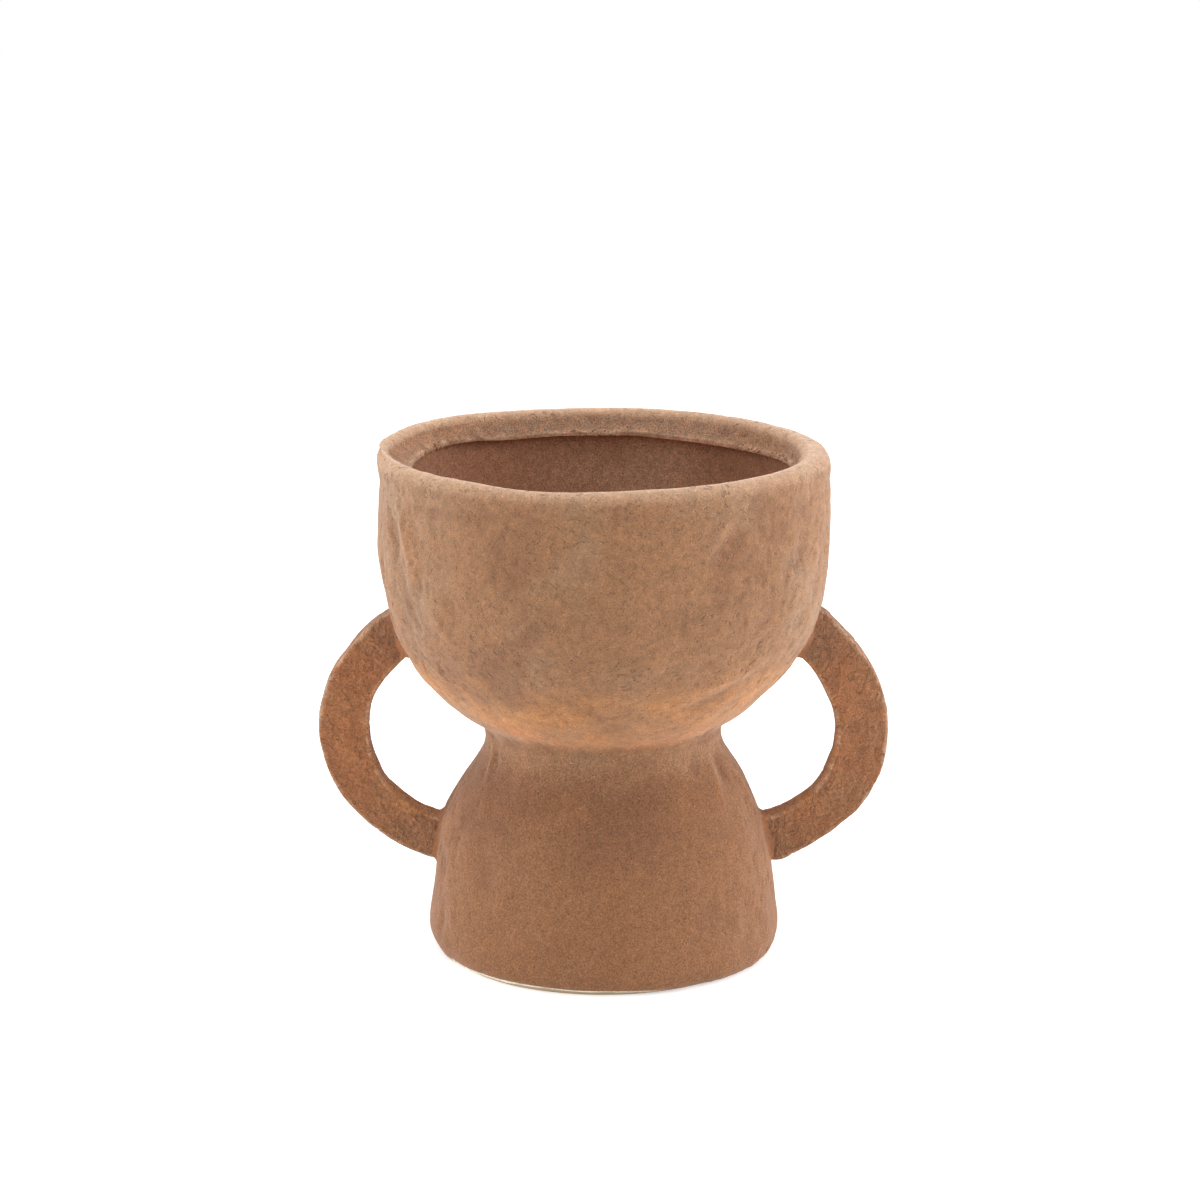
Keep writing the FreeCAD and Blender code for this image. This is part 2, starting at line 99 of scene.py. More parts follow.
DENT_MARKS = [
    (212, 156, 15, 1.6, -26, 0.8),
    (208, 150, 13, 3.2, -20, -0.8),
    (217, 160, 8, 2.6, -24, -0.6),
    (224, 167, 5, 2.4, -12, -0.5),
    (219, 143, 6, 2.4, 20, -0.6),
    (227, 150, 4, 2.6, 50, -0.4),
    (230, 137, 6, 3.0, -30, -0.5),
    (222, 122, 7, 3.6, -35, -0.6),
    (213, 131, 5, 2.6, 30, -0.6),
    (196, 140, 13, 3.0, -8, -0.6),
    (201, 158, 11, 2.0, -8, 0.55),
    (300, 164, 10, 2.0, 42, 0.56),
    (302, 158, 9, 3.4, 42, -0.49),
    (319, 135, 7, 3.4, 40, -0.6),
    (326, 137, 6, 2.4, 30, 0.4),
    (313, 129, 5, 2.4, 44, -0.4),
    (322, 146, 5, 2.6, 20, -0.5),
    (331, 128, 5, 2.8, 50, -0.5),
    (316, 125, 7, 1.6, 62, -0.63),
    (328, 150, 14, 3.0, 18, -0.56),
    (336, 145, 15, 2.4, 12, 0.49),
    (345, 152, 14, 3.0, 8, -0.56),
    (310, 112, 20, 3.6, 70, 1.1),
    (303, 105, 14, 3.4, 68, -0.9),
    (274, 122, 1.6, 1.2, 0, -0.49),
    (252, 130, 5, 3.0, 40, -0.35),
    (239, 118, 10, 6.0, 50, -0.42),
    (266, 142, 14, 10.0, 20, -0.42),
    (286, 136, 12, 8.0, 30, -0.42),
    (248, 152, 12, 9.0, -10, -0.35),
    (205, 74, 7, 1.3, -20, 0.7),
    (211, 72, 7, 2.0, -24, -0.6),
    (221, 64, 5, 4.4, 30, -0.6),
    (233, 69, 4, 3.4, -30, 0.3),
    (267, 62, 1.2, 2.6, 20, -0.3),
    (318, 73, 5, 4.0, 34, -0.5),
    (328, 69, 7, 1.7, 14, 0.8),
    (336, 70, 6, 2.6, 18, -1.0),
    (347, 61, 6, 2.4, -10, 0.5),
    (321, 52, 5, 4.6, 30, -0.5),
    (334, 47, 7, 3.4, -12, 0.4),
    (316, 22, 4, 1.7, -14, -0.45),
    (321, 19, 5, 1.6, -10, 0.35),
    (327, 24, 5, 2.6, -20, -0.5),
    (334, 12, 3, 2.8, 0, -0.45),
    (226, 38, 8, 4.2, -20, -0.7),
    (234, 30, 7, 3.6, 16, 0.45),
    (203, 16, 5, 2.4, 14, -0.7),
    (210, 20, 6, 2.2, -10, 0.6),
    (198, 34, 7, 3.2, -14, -0.7),
    (207, 47, 6, 3.2, 24, -0.6),
    (30, 125, 12, 4.0, 30, -0.63),
    (55, 155, 14, 3.4, 10, -0.56),
    (82, 135, 10, 4.4, -20, -0.56),
    (110, 160, 12, 3.0, 6, -0.56),
    (140, 128, 14, 4.0, -24, -0.63),
    (160, 150, 12, 3.2, 10, -0.56),
    (70, 30, 14, 3.4, 6, -0.56),
    (120, 24, 12, 3.0, -6, -0.56),
    (95, 58, 8, 3.6, 10, -0.56),
    (150, 40, 12, 3.0, 4, -0.49),
]

# Waves of the lip and of the ledge inside it: angle, half width in degrees, rise in millimetres.
LIP_WAVES = [
    (148, 34, 1.9),
    (80, 40, 0.7),
    (183, 7, 0.9),
    (255, 20, -0.9),
    (232, 8, 0.3),
    (318, 22, 0.5),
    (12, 14, 0.3),
]
LEDGE_WAVES = [
    (150, 26, 2.0),
    (120, 9, -0.6),
    (42, 34, -1.3),
    (80, 7, 0.4),
    (250, 30, -0.4),
    (330, 30, 0.4),
]

# How each handle departs from two round curves: angle up from its middle and half width in degrees,
# push outwards in millimetres.
HANDLE_WAVES = {
    "left": {
        "outer": [
            (-48, 26, -1.8), (-82, 9, 1.0), (-14, 20, -1.0), (16, 14, -0.5), (38, 13, -0.95), (64, 9, 0.6)],
        "inner": [(-30, 14, 0.5), (16, 15, 0.65), (40, 9, -0.2)],
    },
    "right": {
        "outer": [
            (63, 10, 2.2), (34, 10, -0.4), (12, 10, -0.3), (-12, 14, -0.2), (-54, 12, -0.9), (-80, 8, 2.0)],
        "inner": [(27, 15, -0.95), (-2, 8, 0.3), (-38, 13, 0.55)],
    },
}

# Lip's inner side, pulled in or out by hand: angle, half width in degrees, push outwards in millimetres.
LIP_PULLS = [
    (2, 26, -2.2),
    (180, 20, 3.4),
]
LIP_INNER_LEVELS = (173.6, 177.0)
LIP_INNER_RADII = (77.0, 74.0)
LIP_WAVE_LEVELS = (146.0, 177.0)

# Groove that a tool left under the lip and the roll of clay over it, in millimetres.
# A wave of the groove is its height, the number of its crests round the vase and its start in radians.
GROOVE_LEVEL = 169.6
GROOVE_WIDTH = 1.7
GROOVE_DEPTH = 0.34
GROOVE_WAVES = [(1.1, 3, 0.6), (0.7, 7, 2.0)]
ROLL_LEVEL = 174.6
ROLL_WIDTH = 2.8
ROLL_HEIGHT = 0.35

# Lower edge of the slab droops, but less along the front, in millimetres and degrees.
SLAB_DROOP = 1.4
SLAB_LIFT = 0.75
SLAB_LIFT_STARTS = (203.0, 216.0)
SLAB_LIFT_ENDS = (291.0, 277.0)
SLAB_EDGE_RADII = (56.5, 56.9)
SLAB_EDGE_LEVELS = (1.8, 7.2)

# Hand marks fade out towards the axis between these radii, in millimetres.
AXIS_RADII = (20.0, 30.0)

# The front is smoother than the sides, between these distances beside the axis, in metres.
SMOOTH_FRONT = (0.03, 0.062)

# Share of the relief that shows on each kind of face.
PEDESTAL_RELIEF = 0.75
BOWL_INSIDE_RELIEF = 0.35
PEDESTAL_INSIDE_RELIEF = 0.3
LEDGE_RELIEF = 0.6
RING_RELIEF = 0.35

# Lumps, dents and pits of the lesser worked pieces, as shares of the set depths and widths.
RING_DEPTHS = (0.3, 0.4, 0.6)
HANDLE_DEPTHS = (0.55, 0.6, 0.75)
HANDLE_DENT_WIDTH = 0.6
HANDLE_PIT_WIDTH = 0.62
HANDLE_ROWS = 170
CRUMB_SHARE = 0.14

# Rim's outline: turn over the crest, rise of the hollow's corner over the ledge, and steps of its three runs.
# The points are counted from the outline's foot outside.
CREST_TURN = math.radians(146.0)
HOLLOW_RISE = 1.8 * MM
RIM_STEPS = (6, 18, 14)
RUBBED_POINT = 18
RUBBED_REACH = 8.5
SMOOTHED_REACH = 9.0
INSIDE_POINT = 23
LEDGE_POINT = 34
FADE_POINTS = 3.0

# Slip at a handle's end: how far its thin ends lie under the clay, how far its hollow stands off the corner,
# how deep its root is, and how uneven its reach.
SLIP_STRAP_SUNK = 0.3 * MM
SLIP_WALL_SUNK = 0.25 * MM
SLIP_STANDS = 0.25 * MM
SLIP_ROOT = 1.3 * MM
SLIP_STRETCH = 1.15
SLIP_UNEVEN = 0.45
SLIP_WAVE_RATE = 160.0
SLIP_STEPS = 8

# Spacing of points round a strap, widest gap closed at a seam, and breaking of the foot ring's edges.
STRAP_SPACING = 0.7 * MM
SEAM_GAP = 0.004 * MM
BROKEN_EDGE = 0.35 * MM

# Where each colour of the vessel and the handles starts and where it is full, in metres.
REACHES = {
    "brown": (0.086, 0.066),
    "dusk_top": (0.078, 0.066),
    "dusk_foot": (0.036, 0.056),
    "flush_top": (0.117, 0.095),
    "flush_foot": (0.0815, 0.0885),
    "ember_top": (0.0950, 0.0870),
    "ember_foot": (0.0820, 0.0850),
    "band_top": (0.0825, 0.079),
    "band_foot": (0.063, 0.079),
    "crease_top": (0.0862, 0.0822),
    "crease_foot": (0.0785, 0.0808),
    "haze_left": (-0.05, 0.005),
    "haze_right": (0.05, 0.012),
    "haze_top": (0.1715, 0.1695),
    # Painted shade on the right of the bowl's inside.
    "inside_shade": (0.028, 0.05),
    "shelf": (0.1715, 0.1735),
    # Painted shade at both ends of the slope under the lip.
    "shaded_shelf_ends": (0.035, 0.058),
    # Painted highlight along the outside of the lip.
    "brow_highlight": (0.1745, 0.1785),
    "bare_left": (-0.058, -0.050),
    "bare_right": (0.026, 0.006),
    "bare_front": (-0.012, -0.024),
    "bare_edge": (0.0026, 0.0022),
    "bowl": (0.074, 0.086),
    "handles": (-0.05, 0.05),
    "right_handle": (0.05, 0.09),
    "seam_left": (0.0627, 0.0633),
    "seam_right": (0.0643, 0.0635),
    "seam_top": (0.070, 0.060),
}
WHITE = (1.0, 1.0, 1.0, 1.0)


class VaseSizes(bpy.types.PropertyGroup):
    """Lengths of the vase. Those that a CAD node's box shows come from the frame."""

    wall: FloatProperty(
        name="Wall", description="Thickness of the bowl and pedestal walls",
        default=0.0065, min=0.003, max=0.02, unit="LENGTH", precision=4)
    foot_radius: FloatProperty(
        name="Foot radius", description="Outer radius of the floor slab",
        default=high("base_disc", 0), min=0.02, max=0.2, unit="LENGTH", precision=4)
    ring_width: FloatProperty(
        name="Foot ring width", description="Width of the bare ring under the slab",
        default=0.007, min=0.002, max=0.02, unit="LENGTH", precision=4)
    edge_round: FloatProperty(
        name="Slab edge", description="Rounding of the slab's lower edge",
        default=0.005, min=0.001, max=0.01, unit="LENGTH", precision=4)
    shoulder_round: FloatProperty(
        name="Shoulder rounding", description="Radius of the pedestal's rounded shoulder",
        default=0.072, min=0.02, max=0.2, unit="LENGTH", precision=4)
    foot_flare: FloatProperty(
        name="Foot flare", description="How far the pedestal's foot stands out past its shoulder corner",
        default=0.0047, min=0.001, max=0.02, unit="LENGTH", precision=4)
    shoulder_drop: FloatProperty(
        name="Shoulder drop", description="Depth of the shoulder corner below the pedestal's top",
        default=0.0231, min=0.01, max=0.05, unit="LENGTH", precision=4)
    waist_radius: FloatProperty(
        name="Waist radius", description="Least radius of the waist",
        default=0.0416, min=0.02, max=0.1, unit="LENGTH", precision=4)
    waist_rise: FloatProperty(
        name="Waist rise", description="Height of the waist above the pedestal's top",
        default=0.007, min=0.002, max=0.012, unit="LENGTH", precision=4)
    collar_flare: FloatProperty(
        name="Collar flare", description="How far the pedestal's top stands out from the waist",
        default=0.0017, min=0.0005, max=0.01, unit="LENGTH", precision=4)
    bowl_radius: FloatProperty(
        name="Bowl radius", description="Outer radius of the bowl's upright wall",
        default=high("bowl", 0), min=0.03, max=0.2, unit="LENGTH", precision=4)
    bowl_round: FloatProperty(
        name="Bowl rounding", description="Radius of the bowl's curved underside",
        default=0.07, min=0.03, max=0.2, unit="LENGTH", precision=4)
    lip_round: FloatProperty(
        name="Lip rounding", description="Rounding of the lip",
        default=0.004, min=0.001, max=0.008, unit="LENGTH", precision=4)
    ledge_overhang: FloatProperty(
        name="Ledge", description="How far the rim hangs over inside the bowl's wall",
        default=0.0054, min=0.001, max=0.02, unit="LENGTH", precision=4)
    ledge_edge: FloatProperty(
        name="Ledge edge", description="Thickness of the overhang at its inner edge",
        default=0.0012, min=0.0005, max=0.004, unit="LENGTH", precision=4)
    handle_band: FloatProperty(
        name="Handle band", description="Width of the handle's strap, seen from the front",
        default=0.0183, min=0.005, max=0.03, unit="LENGTH", precision=4)
    handle_outer_round: FloatProperty(
        name="Handle outside", description="Radius of the handle's outer curve",
        default=0.0463, min=0.02, max=0.1, unit="LENGTH", precision=4)
    handle_inner_round: FloatProperty(
        name="Handle inside", description="Radius of the handle's inner curve",
        default=0.0332, min=0.01, max=0.1, unit="LENGTH", precision=4)
    handle_edge: FloatProperty(
        name="Handle edge", description="Rounding of the strap's long edges",
        default=0.0009, min=0.0005, max=0.004, unit="LENGTH", precision=4)
    handle_rise: FloatProperty(
        name="Handle rise", description="Height of the handle's middle above the waist",
        default=0.0007, min=-0.01, max=0.01, unit="LENGTH", precision=4)
    slip_reach: FloatProperty(
        name="Slip reach", description="How far the slip is smeared along a handle and along the wall",
        default=0.0032, min=0.001, max=0.006, unit="LENGTH", precision=4)


class VaseRelief(bpy.types.PropertyGroup):
    """How rough the hand-worked clay is."""

    segments: IntProperty(
        name="Segments", description="Faces round the axis of a turned piece", default=560, min=96, max=640)
    seed: IntProperty(name="Seed", description="Picks another pattern of lumps and dents", default=7, min=0)
    lump_size: FloatProperty(
        name="Lump size", description="Width of the broad lumps",
        default=0.044, min=0.01, max=0.2, unit="LENGTH", precision=4)
    lump_depth: FloatProperty(
        name="Lump depth", description="Height of the broad lumps",
        default=0.0022, min=0.0, max=0.006, unit="LENGTH", precision=4)
    dent_size: FloatProperty(
        name="Dent size", description="Width of the dents left by finger tips",
        default=0.0105, min=0.004, max=0.04, unit="LENGTH", precision=4)
    dent_depth: FloatProperty(
        name="Dent depth", description="Depth of the dents left by finger tips",
        default=0.00125, min=0.0, max=0.003, unit="LENGTH", precision=4)
    pit_size: FloatProperty(
        name="Pit size", description="Width of the small drag pits",
        default=0.0034, min=0.001, max=0.01, unit="LENGTH", precision=4)
    pit_depth: FloatProperty(
        name="Pit depth", description="Depth of the small drag pits",
        default=0.0006, min=0.0, max=0.002, unit="LENGTH", precision=4)
    crumb_size: FloatProperty(
        name="Crumb size", description="Radius of the crumbs of clay along the ledge",
        default=0.00042, min=0.0001, max=0.002, unit="LENGTH", precision=5)


class VaseColours(bpy.types.PropertyGroup):
    """Colours of the fired clay."""

    clay: FloatVectorProperty(
        name="Clay", description="Main colour of the fired clay", subtype="COLOR", size=3,
        default=(0.385, 0.196, 0.097), min=0.0, max=1.0)
    # The flush colour also paints light along the handles' inner edges.
    flush: FloatVectorProperty(
        name="Flush", description="Orange flush of the flame above the waist", subtype="COLOR", size=3,
        default=(0.58, 0.265, 0.10), min=0.0, max=1.0)
    ash: FloatVectorProperty(
        name="Ash", description="Greyish patches", subtype="COLOR", size=3,
        default=(0.40, 0.25, 0.152), min=0.0, max=1.0)
    # Brown also paints the shade at the ends of the slope under the lip.
    brown: FloatVectorProperty(
        name="Brown", description="Browner clay of the pedestal", subtype="COLOR", size=3,
        default=(0.308, 0.136, 0.059), min=0.0, max=1.0)
    # Besides its own brown, umber paints shade: in the relief's hollows, on the right of the bowl's inside
    # and at the handles' ends.
    umber: FloatVectorProperty(
        name="Umber", description="Darker brown of hollows and creases", subtype="COLOR", size=3,
        default=(0.25, 0.115, 0.058), min=0.0, max=1.0)
    # The lip colour also paints the highlight along the outside of the lip.
    lip: FloatVectorProperty(
        name="Lip", description="Paler clay where edges are rubbed", subtype="COLOR", size=3,
        default=(0.65, 0.425, 0.28), min=0.0, max=1.0)
    inside: FloatVectorProperty(
        name="Inside", description="Red-brown clay inside the bowl", subtype="COLOR", size=3,
        default=(0.43, 0.205, 0.115), min=0.0, max=1.0)
    handle: FloatVectorProperty(
        name="Handle", description="Redder clay of the handles", subtype="COLOR", size=3,
        default=(0.45, 0.187, 0.081), min=0.0, max=1.0)
    bare: FloatVectorProperty(
        name="Bare clay", description="Pale clay of the foot ring", subtype="COLOR", size=3,
        default=(0.95, 0.87, 0.71), min=0.0, max=1.0)


class StageSettings(bpy.types.PropertyGroup):
    """Floor, light and camera."""

    floor_size: FloatProperty(
        name="Floor size", description="Side of the square floor", default=8.0, min=1.0, unit="LENGTH")
    floor_colour: FloatVectorProperty(
        name="Floor", description="Colour of the floor", subtype="COLOR", size=3,
        default=(0.9, 0.9, 0.9), min=0.0, max=1.0)
    sky_level: FloatProperty(
        name="Sky level", description="Strength of the even light from all round", default=0.58, min=0.0)
    side_power: FloatProperty(
        name="Side light", description="Power of each soft light at the sides",
        default=17.0, min=0.0, unit="POWER")
    top_power: FloatProperty(
        name="Top light", description="Power of the soft light overhead", default=13.5, min=0.0, unit="POWER")
    camera_distance: FloatProperty(
        name="Camera distance", description="Level distance of the camera from the axis",
        default=1.188, min=0.1, unit="LENGTH", precision=4)
    camera_height: FloatProperty(
        name="Camera height", description="Height of the camera above the floor",
        default=0.40774, min=0.0, unit="LENGTH", precision=4)
    camera_pitch: FloatProperty(
        name="Camera pitch", description="How far the camera looks down",
        default=0.23304, min=-1.5, max=1.5, subtype="ANGLE", precision=4)
    camera_pan: FloatProperty(
        name="Camera pan", description="How far the camera turns to its left",
        default=0.00083, min=-1.5, max=1.5, subtype="ANGLE", precision=5)
    camera_lens: FloatProperty(
        name="Camera lens", description="Focal length on a 36 mm sensor, in millimetres",
        default=104.5, min=10.0, max=400.0, subtype="DISTANCE_CAMERA")


class ClayVase(bpy.types.PropertyGroup):
    """All settings of the vase and its stage."""

    sizes: PointerProperty(type=VaseSizes)
    relief: PointerProperty(type=VaseRelief)
    colours: PointerProperty(type=VaseColours)
    stage: PointerProperty(type=StageSettings)


class Graph:
    """A node tree under construction: each call adds a node and feeds its inputs."""

    def __init__(self, tree):
        self.tree = tree
        self.count = 0

    def add(self, kind, feeds=None, **settings):
        """New node with these settings, and with values or other nodes' outputs in its inputs."""
        node = self.tree.nodes.new(kind)
        node.location = (220 * (self.count % 9), -340 * (self.count // 9))
        self.count += 1
        for name, setting in settings.items():
            setattr(node, name, setting)
        for key, feed in (feeds or {}).items():
            self.feed(node.inputs[key], feed)
        return node

    def feed(self, socket, feed):
        """Link an output to a socket, or set the socket's own value."""
        if isinstance(feed, bpy.types.NodeSocket):
            self.tree.links.new(feed, socket)
        else:
            socket.default_value = feed

    def math(self, operation, first, second=0.0, third=0.0):
        """Result of a sum on two or three numbers."""
        return self.add("ShaderNodeMath", {0: first, 1: second, 2: third}, operation=operation).outputs[0]

    def product(self, first, *others):
        """Product of several numbers."""
        for other in others:
            first = self.math("MULTIPLY", first, other)
        return first

    def vector(self, operation, first, second=(0.0, 0.0, 0.0)):
        """Result of a sum on two vectors."""
        return self.add("ShaderNodeVectorMath", {0: first, 1: second}, operation=operation).outputs[0]

    def scale(self, vector, factor):
        """Vector or colour times a number."""
        return self.add("ShaderNodeVectorMath", {0: vector, "Scale": factor}, operation="SCALE").outputs[0]

    def combine(self, x, y, z):
        """Vector of three numbers."""
        return self.add("ShaderNodeCombineXYZ", {0: x, 1: y, 2: z}).outputs[0]

    def parts(self, vector):
        """Three numbers of a vector."""
        return self.add("ShaderNodeSeparateXYZ", {0: vector}).outputs

    def between(self, value, low_end, high_end, first=0.0, last=1.0):
        """Smooth step from first to last while the value goes from one end to the other."""
        feeds = {"Value": value, 1: low_end, 2: high_end, 3: first, 4: last}
        return self.add("ShaderNodeMapRange", feeds, interpolation_type="SMOOTHSTEP").outputs[0]

    def blend(self, share, first, second):
        """Number that goes from first to second."""
        return self.add("ShaderNodeMix", {0: share, 2: first, 3: second}, data_type="FLOAT").outputs[0]

    def tint(self, share, first, second, kind="MIX"):
        """Colour that goes from first to second."""
        node = self.add("ShaderNodeMix", {0: share, 6: first, 7: second}, data_type="RGBA", blend_type=kind)
        return node.outputs[2]

    def clouds(self, place, scale, detail=2.0, roughness=0.5, seed=0.0, distortion=0.0):
        """Noise at a place, as a number about one half, and as a colour."""
        feeds = {"Vector": place, "W": seed, "Scale": scale, "Detail": detail, "Roughness": roughness}
        feeds["Distortion"] = distortion
        return self.add("ShaderNodeTexNoise", feeds, noise_dimensions="4D").outputs


def new_group(name, tree_type, inputs, outputs):
    """New node tree with its inputs and outputs. An input is its name, kind and default."""
    tree = bpy.data.node_groups.new(name, tree_type)
    for label, kind, default in inputs:
        socket = tree.interface.new_socket(name=label, in_out="INPUT", socket_type="NodeSocket" + kind)
        if default is not None:
            socket.default_value = default
    for label, kind in outputs:
        tree.interface.new_socket(name=label, in_out="OUTPUT", socket_type="NodeSocket" + kind)
    graph = Graph(tree)
    return graph, graph.add("NodeGroupInput").outputs


RELIEF_INPUTS = [
    ("Seed", "Float", 7.0),
    ("Lump Size", "Float", 0.045),
    ("Lump Depth", "Float", 0.002),
    ("Dent Size", "Float", 0.011),
    ("Dent Depth", "Float", 0.0006),
    ("Pit Size", "Float", 0.0036),
    ("Pit Depth", "Float", 0.0005),
]


def relief_group():
    """Geometry group: height of hand-worked clay at a place, from broad lumps, finger dents and drag pits."""
    tree = bpy.data.node_groups.get("clay_relief")
    if tree:
        return tree
    inputs = [("Place", "Vector", None)] + RELIEF_INPUTS
    graph, given = new_group("clay_relief", "GeometryNodeTree", inputs, [("Height", "Float")])
    place = given["Place"]
    seed = given["Seed"]
    lump_rate = graph.math("DIVIDE", 1.0, given["Lump Size"])
    dent_rate = graph.math("DIVIDE", 1.0, given["Dent Size"])
    pit_rate = graph.math("DIVIDE", 1.0, given["Pit Size"])
    lumps = graph.clouds(place, lump_rate, detail=1.5, roughness=0.4, seed=seed)[0]
    lump = graph.product(graph.math("SUBTRACT", lumps, 0.5), given["Lump Depth"])
    rough_rate = graph.product(lump_rate, 0.8)
    rough_seed = graph.math("ADD", seed, 11.3)
    cloud = graph.between(graph.clouds(place, rough_rate, detail=1.0, seed=rough_seed)[0], 0.42, 0.6)
    beside = graph.between(graph.math("ABSOLUTE", graph.parts(place)[0]), *SMOOTH_FRONT, 0.15, 1.0)
    rough = graph.product(graph.math("MULTIPLY_ADD", cloud, 0.6, 0.55), beside)
    warp = graph.vector("SUBTRACT", graph.clouds(place, dent_rate, detail=1.0, seed=seed)[1], (0.5, 0.5, 0.5))
    pulled = graph.vector("ADD", place, graph.scale(warp, graph.product(given["Dent Size"], 0.9)))
    cells = {"W": seed, "Scale": dent_rate, "Smoothness": 0.7}
    cells["Vector"] = graph.vector("MULTIPLY", pulled, (1.0, 1.0, 0.85))
    cell = graph.add("ShaderNodeTexVoronoi", cells, voronoi_dimensions="4D", feature="SMOOTH_F1")
    dent = graph.product(graph.math("SUBTRACT", cell.outputs["Distance"], 0.42), given["Dent Depth"])
    dent = graph.product(dent, graph.math("MULTIPLY_ADD", rough, 0.7, 0.45))
    pit_place = graph.vector("MULTIPLY", pulled, (1.0, 1.0, 0.6))
    pit_seed = graph.math("ADD", seed, 4.7)
    holes = graph.clouds(pit_place, pit_rate, detail=2.0, roughness=0.55, seed=pit_seed)[0]
    pit = graph.product(graph.between(holes, 0.52, 0.72), given["Pit Depth"])
    pit = graph.product(pit, graph.math("MULTIPLY_ADD", rough, 0.8, 0.3))
    height = graph.math("SUBTRACT", graph.math("ADD", lump, dent), pit)
    graph.add("NodeGroupOutput", {"Height": height})
    return graph.tree


def relief_at(graph, given, place):
    """Place the relief group in a tree, fed from that tree's own inputs."""
    feeds = {name: given[name] for name, kind, default in RELIEF_INPUTS}
    feeds["Place"] = place
    return graph.add("GeometryNodeGroup", feeds, node_tree=relief_group()).outputs["Height"]


def named(graph, name, kind):
    """Value that the geometry keeps under a name."""
    return graph.add("GeometryNodeInputNamedAttribute", {"Name": name}, data_type=kind).outputs["Attribute"]


def sampled(graph, section, index, name, kind="FLOAT_VECTOR"):
    """Named value of the section's point at an index."""
    feeds = {"Geometry": section, "Value": named(graph, name, kind), "Index": index}
    return graph.add("GeometryNodeSampleIndex", feeds, data_type=kind, domain="POINT").outputs[0]


def stored(graph, geometry, name, value):
    """Geometry with a number kept at each point under a name."""
    feeds = {"Geometry": geometry, "Name": name, "Value": value}
    return graph.add("GeometryNodeStoreNamedAttribute", feeds, data_type="FLOAT", domain="POINT").outputs[0]


def section_grid(graph, section, columns, closing_rows):
    """Grid with a column for each copy of the section, and the row and column of a point in it."""
    size = graph.add("GeometryNodeAttributeDomainSize", {0: section}, component="MESH").outputs["Point Count"]
    rows = graph.math("ADD", size, closing_rows)
    grid = graph.add("GeometryNodeMeshGrid", {"Vertices X": columns, "Vertices Y": rows}).outputs["Mesh"]
    number = graph.add("GeometryNodeInputIndex").outputs[0]
    row = graph.math("MODULO", graph.math("MODULO", number, rows), size)
    column = graph.math("FLOOR", graph.math("DIVIDE", number, rows))
    return grid, row, column


def swung(graph, vector, angle):
    """Vector of the XZ plane, swung round the axis by an angle."""
    parts = graph.parts(vector)
    x = graph.product(parts[0], graph.math("COSINE", angle))
    y = graph.product(parts[0], graph.math("SINE", angle))
    return graph.combine(x, y, parts[2])


def end_worked(graph, given, geometry, way, height):
    """End of a tree: moves the points by the relief, keeps its height in millimetres and closes the seams."""
    kept = stored(graph, geometry, "relief", graph.product(height, 1.0 / MM))
    moves = {"Geometry": kept, "Offset": graph.scale(way, height)}
    worked = graph.add("GeometryNodeSetPosition", moves).outputs[0]
    closed = graph.add("GeometryNodeMergeByDistance", {"Geometry": worked, "Distance": SEAM_GAP}).outputs[0]
    end_clad(graph, closed, given["Clay"])


def end_clad(graph, geometry, clay):
    """End of a tree: makes the mesh real and sets its clay."""
    real = graph.add("GeometryNodeRealizeInstances", {"Geometry": geometry}).outputs[0]
    clad = graph.add("GeometryNodeSetMaterial", {"Geometry": real, "Material": clay}).outputs[0]
    graph.add("NodeGroupOutput", {"Geometry": clad})


def turned_tree():
    """Geometry tree: turns a half section round the axis and works the relief into its shown faces."""
    tree = bpy.data.node_groups.get("turned_clay")
    if tree:
        return tree
    inputs = [("Section", "Geometry", None), ("Segments", "Int", 560), ("Closed Section", "Int", 1)]
    inputs += RELIEF_INPUTS + [("Clay", "Material", None)]
    graph, given = new_group("turned_clay", "GeometryNodeTree", inputs, [("Geometry", "Geometry")])
    section = given["Section"]
    columns = graph.math("ADD", given["Segments"], 1.0)
    grid, row, column = section_grid(graph, section, columns, given["Closed Section"])
    angle = graph.product(graph.math("DIVIDE", column, given["Segments"]), 2.0 * math.pi)
    place = swung(graph, sampled(graph, section, row, "place"), angle)
    way = swung(graph, sampled(graph, section, row, "outward"), angle)
    turned = graph.add("GeometryNodeSetPosition", {"Geometry": grid, "Position": place}).outputs[0]
    looks = {}
    for name in Section.LOOKS:
        looks[name] = sampled(graph, section, row, name, "FLOAT")
        turned = stored(graph, turned, name, looks[name])
    here = graph.add("GeometryNodeInputPosition").outputs[0]
    height = graph.product(relief_at(graph, given, here), looks["shown"])
    end_worked(graph, given, turned, way, height)
    return graph.tree


